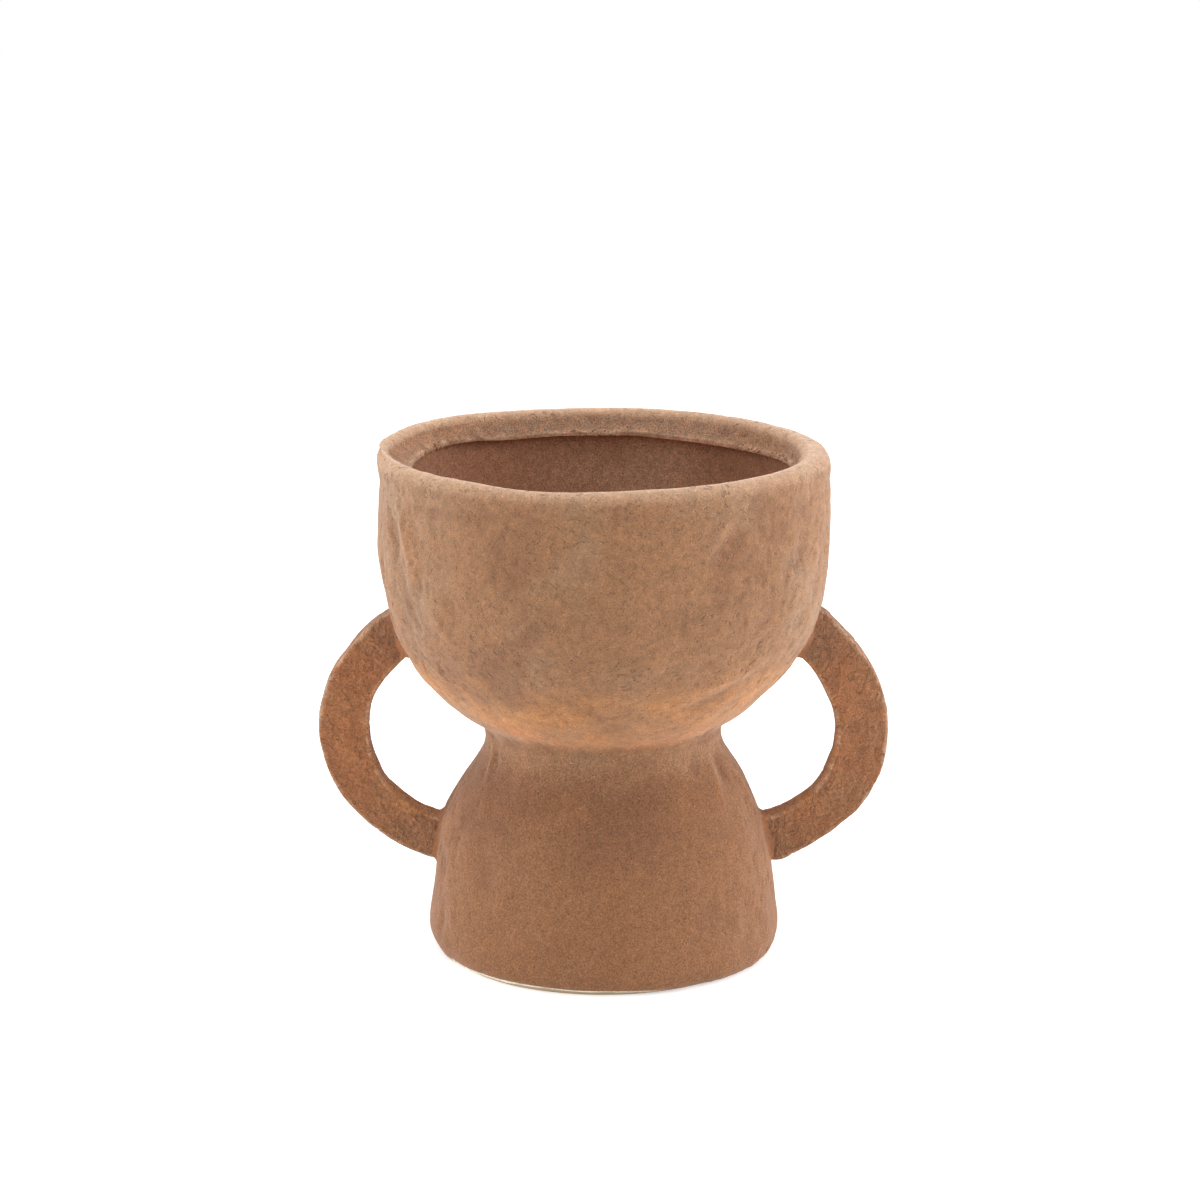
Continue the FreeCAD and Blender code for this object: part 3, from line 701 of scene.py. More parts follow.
def strap_tree():
    """Geometry tree: carries a strap's section along the space between two round curves."""
    tree = bpy.data.node_groups.get("bent_strap")
    if tree:
        return tree
    inputs = [
        ("Section", "Geometry", None),
        ("Rows", "Int", 160),
        ("Side", "Float", 1.0),
        ("Level", "Float", 0.08),
    ]
    for edge in ("Outer", "Inner"):
        inputs.append((edge + " Centre", "Float", 0.05))
        inputs.append((edge + " Round", "Float", 0.04))
        inputs.append((edge + " Upper End", "Float", 1.1))
        inputs.append((edge + " Lower End", "Float", -1.0))
    inputs += RELIEF_INPUTS + [("Clay", "Material", None)]
    graph, given = new_group("bent_strap", "GeometryNodeTree", inputs, [("Geometry", "Geometry")])
    section = given["Section"]
    columns = graph.math("ADD", given["Rows"], 2.0)
    grid, row, column = section_grid(graph, section, columns, 1.0)
    last = graph.math("SUBTRACT", given["Rows"], 1.0)
    run = graph.math("DIVIDE", graph.math("SUBTRACT", column, 1.0), last)
    step = graph.add("ShaderNodeClamp", {0: run, 1: 0.0, 2: 1.0}).outputs[0]
    cap = graph.math("GREATER_THAN", graph.math("ABSOLUTE", graph.math("SUBTRACT", run, 0.5)), 0.5005)
    point = graph.parts(sampled(graph, section, row, "place"))
    outward = graph.parts(sampled(graph, section, row, "outward"))
    share = graph.blend(cap, point[0], 0.5)
    depth = graph.blend(cap, point[1], 0.0)
    first = graph.blend(share, given["Outer Upper End"], given["Inner Upper End"])
    final = graph.blend(share, given["Outer Lower End"], given["Inner Lower End"])
    angle = graph.blend(step, first, final)
    edges = []
    for edge in ("Outer", "Inner"):
        curve = given[edge + " Round"]
        x = graph.math("MULTIPLY_ADD", graph.math("COSINE", angle), curve, given[edge + " Centre"])
        z = graph.math("MULTIPLY_ADD", graph.math("SINE", angle), curve, given["Level"])
        edges.append(graph.combine(graph.product(x, given["Side"]), 0.0, z))
    outer, inner = edges
    gap = graph.vector("SUBTRACT", inner, outer)
    middle = graph.vector("ADD", outer, graph.scale(gap, share))
    place = graph.vector("ADD", middle, graph.combine(0.0, depth, 0.0))
    inwards = graph.scale(graph.vector("NORMALIZE", gap), outward[0])
    way = graph.vector("ADD", inwards, graph.combine(0.0, outward[1], 0.0))
    bent_strap = graph.add("GeometryNodeSetPosition", {"Geometry": grid, "Position": place}).outputs[0]
    worn = sampled(graph, section, row, "worn", "FLOAT")
    for name, value in (("worn", worn), ("along", step), ("across", share)):
        bent_strap = stored(graph, bent_strap, name, value)
    here = graph.add("GeometryNodeInputPosition").outputs[0]
    end_worked(graph, given, bent_strap, way, relief_at(graph, given, here))
    return graph.tree


def burr_tree():
    """Geometry tree: leaves crumbs of clay along the ledge inside the rim."""
    tree = bpy.data.node_groups.get("ledge_burr")
    if tree:
        return tree
    inputs = [
        ("Rim", "Geometry", None),
        ("Crumb Size", "Float", 0.0005),
        ("Share", "Float", 0.2),
        ("Seed", "Int", 3),
        ("Clay", "Material", None),
    ]
    graph, given = new_group("ledge_burr", "GeometryNodeTree", inputs, [("Geometry", "Geometry")])
    here = graph.add("GeometryNodeInputPosition").outputs[0]
    crowd = graph.between(graph.clouds(here, 42.0, detail=1.0, seed=2.0)[0], 0.45, 0.62)
    draw = graph.add("FunctionNodeRandomValue", {"Seed": given["Seed"]}, data_type="FLOAT").outputs[1]
    wanted = graph.math("LESS_THAN", draw, graph.product(crowd, given["Share"]))
    chosen = graph.product(wanted, graph.math("GREATER_THAN", named(graph, "ledge", "FLOAT"), 0.5))
    crumb = graph.add("GeometryNodeMeshIcoSphere", {"Radius": 1.0, "Subdivisions": 2}).outputs[0]
    size_seed = graph.math("ADD", given["Seed"], 1.0)
    turn_seed = graph.math("ADD", given["Seed"], 2.0)
    sizes = graph.add("FunctionNodeRandomValue", {"Seed": size_seed}, data_type="FLOAT_VECTOR")
    graph.feed(sizes.inputs[0], (0.5, 0.5, 0.35))
    graph.feed(sizes.inputs[1], (1.9, 1.9, 1.1))
    turns = graph.add("FunctionNodeRandomValue", {"Seed": turn_seed}, data_type="FLOAT_VECTOR")
    graph.feed(turns.inputs[1], (6.3, 6.3, 6.3))
    feeds = {"Points": given["Rim"], "Selection": chosen, "Instance": crumb, "Rotation": turns.outputs[0]}
    feeds["Scale"] = graph.scale(sizes.outputs[0], given["Crumb Size"])
    crumbs = graph.add("GeometryNodeInstanceOnPoints", feeds).outputs[0]
    joined = graph.add("GeometryNodeJoinGeometry", {0: crumbs})
    graph.tree.links.new(given["Rim"], joined.inputs[0])
    end_clad(graph, joined.outputs[0], given["Clay"])
    return graph.tree


def run_tree(context, obj, tree, values):
    """Give an object a geometry tree with these inputs, and keep what it makes as the object's plain mesh."""
    modifier = obj.modifiers.new(tree.name, "NODES")
    modifier.node_group = tree
    sockets = {item.name: item.identifier for item in tree.interface.items_tree if item.in_out == "INPUT"}
    for name, value in values.items():
        modifier[sockets[name]] = value
    depsgraph = context.evaluated_depsgraph_get()
    made = bpy.data.meshes.new_from_object(
        obj.evaluated_get(depsgraph), preserve_all_data_layers=True, depsgraph=depsgraph)
    obj.modifiers.remove(modifier)
    guide = obj.data
    made.name = obj.name
    obj.data = made
    bpy.data.meshes.remove(guide)
    return obj


def relief_values(relief, lumps=1.0, dents=1.0, pits=1.0, seed=0):
    """Inputs of the relief, as shares of the set depths."""
    return {
        "Seed": float(relief.seed + seed),
        "Lump Size": relief.lump_size,
        "Lump Depth": relief.lump_depth * lumps,
        "Dent Size": relief.dent_size,
        "Dent Depth": relief.dent_depth * dents,
        "Pit Size": relief.pit_size,
        "Pit Depth": relief.pit_depth * pits,
    }


class Section:
    """Outline of a piece point by point, with its outward direction and what the surface is like there."""

    LOOKS = ("shown", "worn", "inside", "joint", "ledge")

    def __init__(self):
        self.places = []
        self.outward = []
        self.looks = {name: [] for name in self.LOOKS}

    def add(self, place, outward, **looks):
        """One point. Its place and direction are two numbers, across and up."""
        self.places.append(place)
        self.outward.append(outward)
        for name in self.LOOKS:
            self.looks[name].append(looks.get(name, 0.0))

    def face(self, places, outward, corners=(True, True), **looks):
        """Run of a face that is seen, with both its ends. A corner parts it from the next face."""
        for index, (place, way) in enumerate(zip(places, outward)):
            corner = (index == 0 and corners[0]) or (index == len(places) - 1 and corners[1])
            mine = {name: (look[index] if isinstance(look, list) else look) for name, look in looks.items()}
            mine.setdefault("shown", 1.0)
            self.add(place, way, joint=1.0 if corner else 0.0, **mine)

    def bridge(self, start, end, steps):
        """Run of a joint face that is hidden between two pieces, without its ends."""
        for index in range(1, steps):
            share = index / steps
            place = (start[0] + (end[0] - start[0]) * share, start[1] + (end[1] - start[1]) * share)
            self.add(place, (0.0, 0.0))

    def mesh(self, name, upright=True):
        """Line of edges through the points, standing in the XZ plane or lying in the XY plane."""
        count = len(self.places)
        mesh = bpy.data.meshes.new(name)
        points = [(a, 0.0, b) if upright else (a, b, 0.0) for a, b in self.places]
        ways = [(a, 0.0, b) if upright else (a, b, 0.0) for a, b in self.outward]
        mesh.from_pydata(points, [(index, index + 1) for index in range(count - 1)], [])
        for label, vectors in (("place", points), ("outward", ways)):
            layer = mesh.attributes.new(label, "FLOAT_VECTOR", "POINT")
            layer.data.foreach_set("vector", np.array(vectors, dtype=np.float32).ravel())
        for label, numbers in self.looks.items():
            layer = mesh.attributes.new(label, "FLOAT", "POINT")
            layer.data.foreach_set("value", np.array(numbers, dtype=np.float32))
        return mesh


def straight(start, end, steps):
    """Even points on a line, with both ends, and the direction to the right of it."""
    length = math.hypot(end[0] - start[0], end[1] - start[1])
    way = ((end[1] - start[1]) / length, -(end[0] - start[0]) / length)
    places = []
    for index in range(steps + 1):
        share = index / steps
        places.append((start[0] + (end[0] - start[0]) * share, start[1] + (end[1] - start[1]) * share))
    return places, [way] * (steps + 1)


def rounded(centre, radius, first, last, steps, facing=1.0):
    """Even points on an arc, with both ends, and the direction away from its centre or towards it."""
    places = []
    ways = []
    for index in range(steps + 1):
        angle = first + (last - first) * index / steps
        ways.append((math.cos(angle) * facing, math.sin(angle) * facing))
        places.append((centre[0] + radius * math.cos(angle), centre[1] + radius * math.sin(angle)))
    return places, ways


def bent(start, corner, end, steps):
    """Points on a soft bend past a corner, with both ends, and the direction to the right of it."""
    places = []
    ways = []
    for index in range(steps + 1):
        share = index / steps
        rest = 1.0 - share
        place = []
        run = []
        for a, b, c in zip(start, corner, end):
            place.append(a * rest * rest + 2.0 * b * share * rest + c * share * share)
            run.append(2.0 * rest * (b - a) + 2.0 * share * (c - b))
        length = math.hypot(*run)
        places.append(tuple(place))
        ways.append((run[1] / length, -run[0] / length))
    return places, ways


def chain(*runs):
    """Join runs that share their ends into one run."""
    places = []
    ways = []
    for run_places, run_ways in runs:
        skip = 1 if places else 0
        places += run_places[skip:]
        ways += run_ways[skip:]
    return places, ways


def neck_bore(sizes):
    """Radius of the bore through the neck, where the pedestal's inner slope ends."""
    collar = sizes.waist_radius + sizes.collar_flare
    run = sizes.foot_radius - sizes.foot_flare - collar
    return collar - sizes.wall * math.hypot(run, sizes.shoulder_drop) / sizes.shoulder_drop


def bowl_centre(sizes):
    """Centre of the bowl's curved underside, across and up."""
    across = sizes.bowl_radius - sizes.bowl_round
    foot = high("neck_coil", 0)
    return across, low("bowl", 2) + math.sqrt(sizes.bowl_round ** 2 - (foot - across) ** 2)


def smoothness(level):
    """Share of the relief that shows at a level: the pedestal was smoothed more than the bowl."""
    share = min(1.0, max(0.0, (level - low("neck_coil", 2)) / (high("neck_coil", 2) - low("neck_coil", 2))))
    return PEDESTAL_RELIEF + (1.0 - PEDESTAL_RELIEF) * share


def bowl_section(sizes):
    """Wall of the bowl: the outside from the neck up to the rim joint, then the inside down again."""
    centre = bowl_centre(sizes)
    bottom = low("bowl", 2)
    top = high("bowl", 2)
    inner_round = sizes.bowl_round - sizes.wall
    bore = neck_bore(sizes)
    foot_angle = -math.asin((centre[1] - bottom) / sizes.bowl_round)
    bore_angle = -math.acos((bore - centre[0]) / inner_round)
    outer = sizes.bowl_radius
    inner = outer - sizes.wall
    section = Section()
    outside = chain(
        rounded(centre, sizes.bowl_round, foot_angle, 0.0, 90),
        straight((outer, centre[1]), (outer, top), 34),
    )
    section.face(*outside)
    section.bridge((outer, top), (inner, top), 4)
    bore_top = centre[1] + inner_round * math.sin(bore_angle)
    inside = chain(
        straight((inner, top), (inner, centre[1]), 10),
        rounded(centre, inner_round, 0.0, bore_angle, 22, facing=-1.0),
    )
    section.face(*inside, shown=BOWL_INSIDE_RELIEF, inside=1.0)
    section.face(*straight((bore, bore_top), (bore, bottom), 2), corners=(False, True), shown=0.0, inside=1.0)
    section.bridge((bore, bottom), (high("neck_coil", 0), bottom), 4)
    return section


def rim_section(sizes):
    """Lip: up the outside, over the round crest, down the hollow slope to the ledge and under it."""
    bottom = low("rim_coil", 2)
    top = high("rim_coil", 2)
    outer = sizes.bowl_radius
    wall = outer - sizes.wall
    ledge = (wall - sizes.ledge_overhang, bottom + sizes.ledge_edge)
    centre = (outer - sizes.lip_round, top - sizes.lip_round)
    turn = CREST_TURN
    crest = (centre[0] + sizes.lip_round * math.cos(turn), centre[1] + sizes.lip_round * math.sin(turn))
    fall = crest[1] - ledge[1] - HOLLOW_RISE
    hollow = (crest[0] + fall * math.tan(turn), crest[1] - fall)
    runs = chain(
        straight((outer, bottom), (outer, centre[1]), RIM_STEPS[0]),
        rounded(centre, sizes.lip_round, 0.0, turn, RIM_STEPS[1]),
        bent(crest, hollow, ledge, RIM_STEPS[2]),
    )
    worn = []
    inside = []
    shown = []
    ledges = []
    for index in range(len(runs[0])):
        worn.append(max(0.0, 1.0 - abs(index - RUBBED_POINT) / RUBBED_REACH))
        inside.append(min(1.0, max(0.0, (index - INSIDE_POINT) / FADE_POINTS)))
        shown.append(1.0 - 0.6 * min(1.0, index / SMOOTHED_REACH) + 0.9 * inside[-1])
        ledges.append(min(1.0, max(0.0, (index - LEDGE_POINT) / FADE_POINTS)))
    section = Section()
    section.face(*runs, corners=(True, False), worn=worn, inside=inside, shown=shown, ledge=ledges)
    edge = straight(ledge, (ledge[0], bottom), 3)
    section.face(edge[0][1:], edge[1][1:], corners=(False, True), shown=LEDGE_RELIEF, inside=1.0, ledge=1.0)
    under = straight((ledge[0], bottom), (wall, bottom), 4)
    section.face(under[0][1:], [(0.0, -1.0)] * 4, corners=(False, True), shown=0.0, inside=1.0)
    section.bridge((wall, bottom), (outer, bottom), 4)
    return section


def neck_section(sizes):
    """Coil at the waist: two hollow curves outside and the straight bore inside."""
    bottom = low("neck_coil", 2)
    top = high("neck_coil", 2)
    waist = (sizes.waist_radius, bottom + sizes.waist_rise)
    bore = neck_bore(sizes)
    ends = ((sizes.waist_radius + sizes.collar_flare, bottom), (high("neck_coil", 0), top))
    curves = []
    for end in ends:
        run = end[0] - waist[0]
        rise = end[1] - waist[1]
        radius = (run ** 2 + rise ** 2) / (2.0 * run)
        angle = math.atan2(rise, run - radius) % (2.0 * math.pi)
        curves.append(((waist[0] + radius, waist[1]), radius, angle))
    lower, upper = curves
    outside = chain(
        rounded(lower[0], lower[1], lower[2], math.pi, 10, facing=-1.0),
        rounded(upper[0], upper[1], math.pi, upper[2], 12, facing=-1.0),
    )
    section = Section()
    section.face(*outside, shown=[smoothness(place[1]) for place in outside[0]])
    section.bridge(ends[1], (bore, top), 4)
    section.face(*straight((bore, top), (bore, bottom), 5), shown=0.0, inside=1.0)
    section.bridge((bore, bottom), ends[0], 4)
    return section


def shoulder(sizes):
    """Centre of the pedestal's rounded shoulder, and the angles where its two straight slopes leave it."""
    top = high("pedestal", 2)
    corner = (sizes.foot_radius - sizes.foot_flare, top - sizes.shoulder_drop)
    run = corner[0] - sizes.waist_radius - sizes.collar_flare
    low_angle = math.atan2(sizes.foot_flare, corner[1] - low("pedestal", 2))
    high_angle = math.atan2(run, sizes.shoulder_drop)
    middle = (low_angle + high_angle) / 2.0
    reach = sizes.shoulder_round / math.cos((high_angle - low_angle) / 2.0)
    centre = (corner[0] - reach * math.cos(middle), corner[1] - reach * math.sin(middle))
    return centre, low_angle, high_angle


def pedestal_side(sizes, offset, steps):
    """Line of the pedestal's wall from its foot to its top, further out by the offset."""
    centre, low_angle, high_angle = shoulder(sizes)
    radius = sizes.shoulder_round + offset
    foot = (sizes.foot_radius + offset / math.cos(low_angle), low("pedestal", 2))
    top = (sizes.waist_radius + sizes.collar_flare + offset / math.cos(high_angle), high("pedestal", 2))
    flare_end = (centre[0] + radius * math.cos(low_angle), centre[1] + radius * math.sin(low_angle))
    throat_start = (centre[0] + radius * math.cos(high_angle), centre[1] + radius * math.sin(high_angle))
    return chain(
        straight(foot, flare_end, steps[0]),
        rounded(centre, radius, low_angle, high_angle, steps[1]),
        straight(throat_start, top, steps[2]),
    )


def pedestal_section(sizes):
    """Bell-shaped wall: the outside up to the neck, then the inside down to the slab."""
    outside = pedestal_side(sizes, 0.0, (30, 46, 14))
    inside = pedestal_side(sizes, -sizes.wall, (6, 12, 4))
    inner_places = list(reversed(inside[0]))
    inner_ways = [(-a, -b) for a, b in reversed(inside[1])]
    section = Section()
    section.face(*outside, shown=smoothness(0.0))
    section.bridge(outside[0][-1], inner_places[0], 4)
    section.face(inner_places, inner_ways, shown=PEDESTAL_INSIDE_RELIEF, inside=1.0)
    section.bridge(inner_places[-1], outside[0][0], 4)
    return section


def base_section(sizes):
    """Floor slab from the axis underneath, round its lower edge and back to the axis on top."""
    bottom = low("base_disc", 2)
    top = high("base_disc", 2)
    centre = (sizes.foot_radius - sizes.edge_round, bottom + sizes.edge_round)
    ring = centre[0]
    section = Section()
    section.add((0.0, bottom), (0.0, -1.0))
    section.bridge((0.0, bottom), (ring - sizes.ring_width, bottom), 6)
    section.bridge((ring - sizes.ring_width, bottom), (ring, bottom), 5)
    edge = chain(
        rounded(centre, sizes.edge_round, -math.pi / 2.0, 0.0, 14),
        straight((sizes.foot_radius, centre[1]), (sizes.foot_radius, top), 4),
    )
    section.face(*edge, shown=smoothness(0.0))
    section.bridge((sizes.foot_radius, top), (sizes.foot_radius - sizes.wall, top), 4)
    section.bridge((sizes.foot_radius - sizes.wall, top), (0.0, top), 8)
    section.add((0.0, top), (0.0, 1.0))
    return section


def ring_section(sizes):
    """Bare foot ring with its edges just broken."""
    top = high("foot_ring", 2)
    outer = high("foot_ring", 0)
    inner = outer - sizes.ring_width
    edge = BROKEN_EDGE
    section = Section()
    walls = chain(
        straight((inner, top), (inner, edge), 3),
        rounded((inner + edge, edge), edge, math.pi, 1.5 * math.pi, 4),
        straight((inner + edge, 0.0), (outer - edge, 0.0), 6),
        rounded((outer - edge, edge), edge, 1.5 * math.pi, 2.0 * math.pi, 4),
        straight((outer, edge), (outer, top), 4),
    )
    shown = [RING_RELIEF if place[1] > 0.0 else 0.0 for place in walls[0]]
    section.face(*walls, shown=shown)
    section.bridge((outer, top), (inner, top), 4)
    return section


def strap_section(sizes):
    """Closed outline of a handle's strap: share across from the outer edge to the inner one, and depth."""
    half = (high("right_handle", 1) - low("right_handle", 1)) / 2.0
    edge = sizes.handle_edge
    band = sizes.handle_band
    runs = []
    corners = (
        ((edge, edge - half), math.pi, 1.5 * math.pi),
        ((band - edge, edge - half), 1.5 * math.pi, 2.0 * math.pi),
        ((band - edge, half - edge), 0.0, 0.5 * math.pi),
        ((edge, half - edge), 0.5 * math.pi, math.pi),
    )
    for index, (centre, first, last) in enumerate(corners):
        bend = rounded(centre, edge, first, last, 7)
        nearest = bend[0][-1]
        following, angle = corners[(index + 1) % len(corners)][:2]
        target = (following[0] + edge * math.cos(angle), following[1] + edge * math.sin(angle))
        length = math.hypot(target[0] - nearest[0], target[1] - nearest[1])
        side = straight(nearest, target, max(2, round(length / STRAP_SPACING)))
        runs.append((bend[0], bend[1], 1.0))
        runs.append((side[0][1:-1], [bend[1][-1]] * (len(side[0]) - 2), 0.0))
    section = Section()
    for places, ways, worn in runs:
        for place, way in zip(places, ways):
            section.add((place[0] / band, place[1]), way, shown=1.0, worn=worn)
    return section


def wall_radius(sizes, level):
    """Radius of the vase's outside at a level of the bowl or the pedestal, as the CAD has it."""
    across, up = bowl_centre(sizes)
    if level >= up:
        return sizes.bowl_radius
    if level >= low("bowl", 2):
        return across + math.sqrt(sizes.bowl_round ** 2 - (level - up) ** 2)
    centre, low_angle = shoulder(sizes)[:2]
    flare_end = centre[1] + sizes.shoulder_round * math.sin(low_angle)
    if level < flare_end:
        return sizes.foot_radius - (level - low("pedestal", 2)) * math.tan(low_angle)
    return centre[0] + math.sqrt(sizes.shoulder_round ** 2 - (level - centre[1]) ** 2)


class Strap:
    """Place of a handle: the two round curves of its strap, and where these run into the wall."""

    SUNK = 1.8 * MM
    # The end of a line of the strap is looked for between these angles from its middle, by halving.
    NEAREST = math.radians(15.0)
    FARTHEST = math.radians(85.0)
    HALVINGS = 40

    def __init__(self, sizes, side):
        self.sizes = sizes
        self.side = side
        self.level = low("neck_coil", 2) + sizes.waist_rise + sizes.handle_rise
        reach = high("right_handle", 0)
        self.rounds = (sizes.handle_outer_round, sizes.handle_inner_round)
        self.centres = (reach - self.rounds[0], reach - sizes.handle_band - self.rounds[1])

    def point(self, share, depth, angle):
        """Point of the strap, a share of its width in from the outer edge."""
        ends = []
        for centre, radius in zip(self.centres, self.rounds):
            ends.append((centre + radius * math.cos(angle), self.level + radius * math.sin(angle)))
        x = ends[0][0] + (ends[1][0] - ends[0][0]) * share
        z = ends[0][1] + (ends[1][1] - ends[0][1]) * share
        return Vector((self.side * x, depth, z))

    def meets(self, share, depth, upper, sunk=0.0):
        """Angle at which a line of the strap has come to a depth under the wall's face."""
        way = 1.0 if upper else -1.0
        outside = way * self.NEAREST
        inside = way * self.FARTHEST
        for halving in range(self.HALVINGS):
            middle = (outside + inside) / 2.0
            place = self.point(share, depth, middle)
            if math.hypot(place.x, place.y) > wall_radius(self.sizes, place.z) - sunk:
                outside = middle
            else:
                inside = middle
        return (outside + inside) / 2.0

    def values(self):
        """Inputs of the strap tree."""
        found = {"Side": float(self.side), "Level": self.level}
        for edge, share in (("Outer", 0), ("Inner", 1)):
            found[edge + " Centre"] = self.centres[share]
            found[edge + " Round"] = self.rounds[share]
            found[edge + " Upper End"] = self.meets(share, 0.0, True, self.SUNK)
            found[edge + " Lower End"] = self.meets(share, 0.0, False, self.SUNK)
        return found


def smooth_step(value, first, last):
    """Share that goes smoothly from 0 to 1 while the value goes from first to last."""
    share = np.clip((value - first) / (last - first), 0.0, 1.0)
    return share * share * (3.0 - 2.0 * share)


def turn_between(angle, centre):
    """Difference of two angles in degrees, the short way round."""
    return (angle - centre + 180.0) % 360.0 - 180.0


def waves(angle, table):
    """Sum of soft waves along an angle."""
    total = np.zeros_like(angle)
    for centre, half_width, rise in table:
        total += rise * np.exp(-((turn_between(angle, centre) / half_width) ** 2))
    return total


def marks(angle, level, radius, table):
    """Sum of soft hand marks on a turned wall, in millimetres."""
    total = np.zeros_like(angle)
    for centre, height, half_length, half_width, lean, depth in table:
        across = np.radians(turn_between(angle, centre)) * radius
        up = level - height
        along = up * math.cos(math.radians(lean)) + across * math.sin(math.radians(lean))
        beside = across * math.cos(math.radians(lean)) - up * math.sin(math.radians(lean))
        total += depth * np.exp(-((along / half_length) ** 2) - (beside / half_width) ** 2)
    return total


def read_points(mesh):
    """Places of a mesh's points in millimetres, one row each."""
    flat = np.empty(len(mesh.vertices) * 3, dtype=np.float32)
    mesh.vertices.foreach_get("co", flat)
    return flat.reshape(-1, 3).astype(float) / MM


def write_points(mesh, places):
    """Set the places of a mesh's points from millimetres."""
    mesh.vertices.foreach_set("co", (places * MM).astype(np.float32).ravel())
    mesh.update()


def read_look(mesh, name):
    """Number kept at each point of a mesh under a name."""
    found = np.empty(len(mesh.vertices), dtype=np.float32)
    mesh.attributes[name].data.foreach_get("value", found)
    return found.astype(float)


def work_by_hand(mesh, node):
    """Move the points of a turned piece as hands and tools did: form, dents, wavy lip, drooping edge."""
    places = read_points(mesh)
    inside = read_look(mesh, "inside")
    relief = read_look(mesh, "relief")
    turn = np.arctan2(places[:, 1], places[:, 0])
    angle = np.degrees(turn) % 360.0
    level = places[:, 2]
    radius = np.hypot(places[:, 0], places[:, 1])
    outside = (1.0 - inside) * smooth_step(radius, *AXIS_RADII)
    dents = marks(angle, level, radius, DENT_MARKS)
    groove_level = np.full_like(turn, GROOVE_LEVEL)
    for height, count, start in GROOVE_WAVES:
        groove_level += height * np.sin(count * turn + start)
    uneven = 0.7 + 0.3 * np.sin(5.0 * turn + 1.0)
    groove = -GROOVE_DEPTH * uneven * np.exp(-(((level - groove_level) / GROOVE_WIDTH) ** 2))
    roll = ROLL_HEIGHT * np.exp(-(((level - ROLL_LEVEL) / ROLL_WIDTH) ** 2))
    push = (marks(angle, level, radius, FORM_MARKS) + dents + groove + roll) * outside
    lip_inside = smooth_step(level, *LIP_INNER_LEVELS) * smooth_step(radius, *LIP_INNER_RADII)
    push += lip_inside * waves(angle, LIP_PULLS)
    rise = waves(angle, LIP_WAVES) * (1.0 - inside) + waves(angle, LEDGE_WAVES) * inside
    rise *= smooth_step(level, *LIP_WAVE_LEVELS)
    if node == "base_disc":
        front = smooth_step(angle, *SLAB_LIFT_STARTS) * smooth_step(angle, *SLAB_LIFT_ENDS)
        edge = smooth_step(radius, *SLAB_EDGE_RADII) * (1.0 - smooth_step(level, *SLAB_EDGE_LEVELS))
        rise += (SLAB_LIFT * front - SLAB_DROOP) * edge
    safe = np.maximum(radius, 1.0)
    places[:, 0] += push * places[:, 0] / safe
    places[:, 1] += push * places[:, 1] / safe
    places[:, 2] += rise
    write_points(mesh, places)
    relief += (dents + groove) * outside
    mesh.attributes["relief"].data.foreach_set("value", relief.astype(np.float32))


def finish_mesh(mesh):
    """Turn every face outwards, shade it smooth and keep the corners at joints sharp."""
    shell = bmesh.new()
    shell.from_mesh(mesh)
    bmesh.ops.recalc_face_normals(shell, faces=shell.faces)
    if shell.calc_volume(signed=True) < 0.0:
        bmesh.ops.reverse_faces(shell, faces=shell.faces)
    shell.to_mesh(mesh)
    shell.free()
    mesh.polygons.foreach_set("use_smooth", np.ones(len(mesh.polygons), dtype=bool))
    if "joint" in mesh.attributes:
        corner = read_look(mesh, "joint") > 0.5
        ends = np.empty(len(mesh.edges) * 2, dtype=np.int32)
        mesh.edges.foreach_get("vertices", ends)
        ends = ends.reshape(-1, 2)
        sharp = corner[ends[:, 0]] & corner[ends[:, 1]]
        mesh.edges.foreach_set("use_edge_sharp", sharp)
    mesh.update()


def settle(obj, node):
    """Finish a piece's mesh and tie the piece to the frame in place of its CAD node."""
    finish_mesh(obj.data)
    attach(obj, "root")
    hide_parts(node)


def grow_piece(context, name, guide, tree, values):
    """New object that a tree makes from a guide mesh."""
    obj = bpy.data.objects.new(name, guide)
    context.scene.collection.objects.link(obj)
    run_tree(context, obj, tree, values)
    if len(obj.data.polygons) == 0:
        raise RuntimeError("no faces were made for " + name)
    return obj


def turn_piece(context, node, section, material, closed=True, depths=(1.0, 1.0, 1.0)):
    """Make a turned piece from its section: turned and worked by the tree, then by hand."""
    name = "formed_" + node
    relief = context.scene.clay_vase.relief
    values = relief_values(relief, *depths)
    values["Segments"] = relief.segments
    values["Closed Section"] = int(closed)
    values["Clay"] = material
    obj = grow_piece(context, name, section.mesh(name + "_section"), turned_tree(), values)
    work_by_hand(obj.data, node)
    return obj


def bend_by_hand(mesh, strap, table):
    """Move a handle's edges off their round curves as the bent clay did."""
    places = read_points(mesh)
    share = read_look(mesh, "across")
    across = places[:, 0] * strap.side
    for part, weight, centre in zip(("outer", "inner"), (1.0 - share, share), strap.centres):
        run = across - centre / MM
        up = places[:, 2] - strap.level / MM
        angle = np.degrees(np.arctan2(up, run))
        length = np.hypot(run, up)
        push = waves(angle, table[part]) * weight
        across = across + push * run / length
        places[:, 2] += push * up / length
    places[:, 0] = across * strap.side
    write_points(mesh, places)


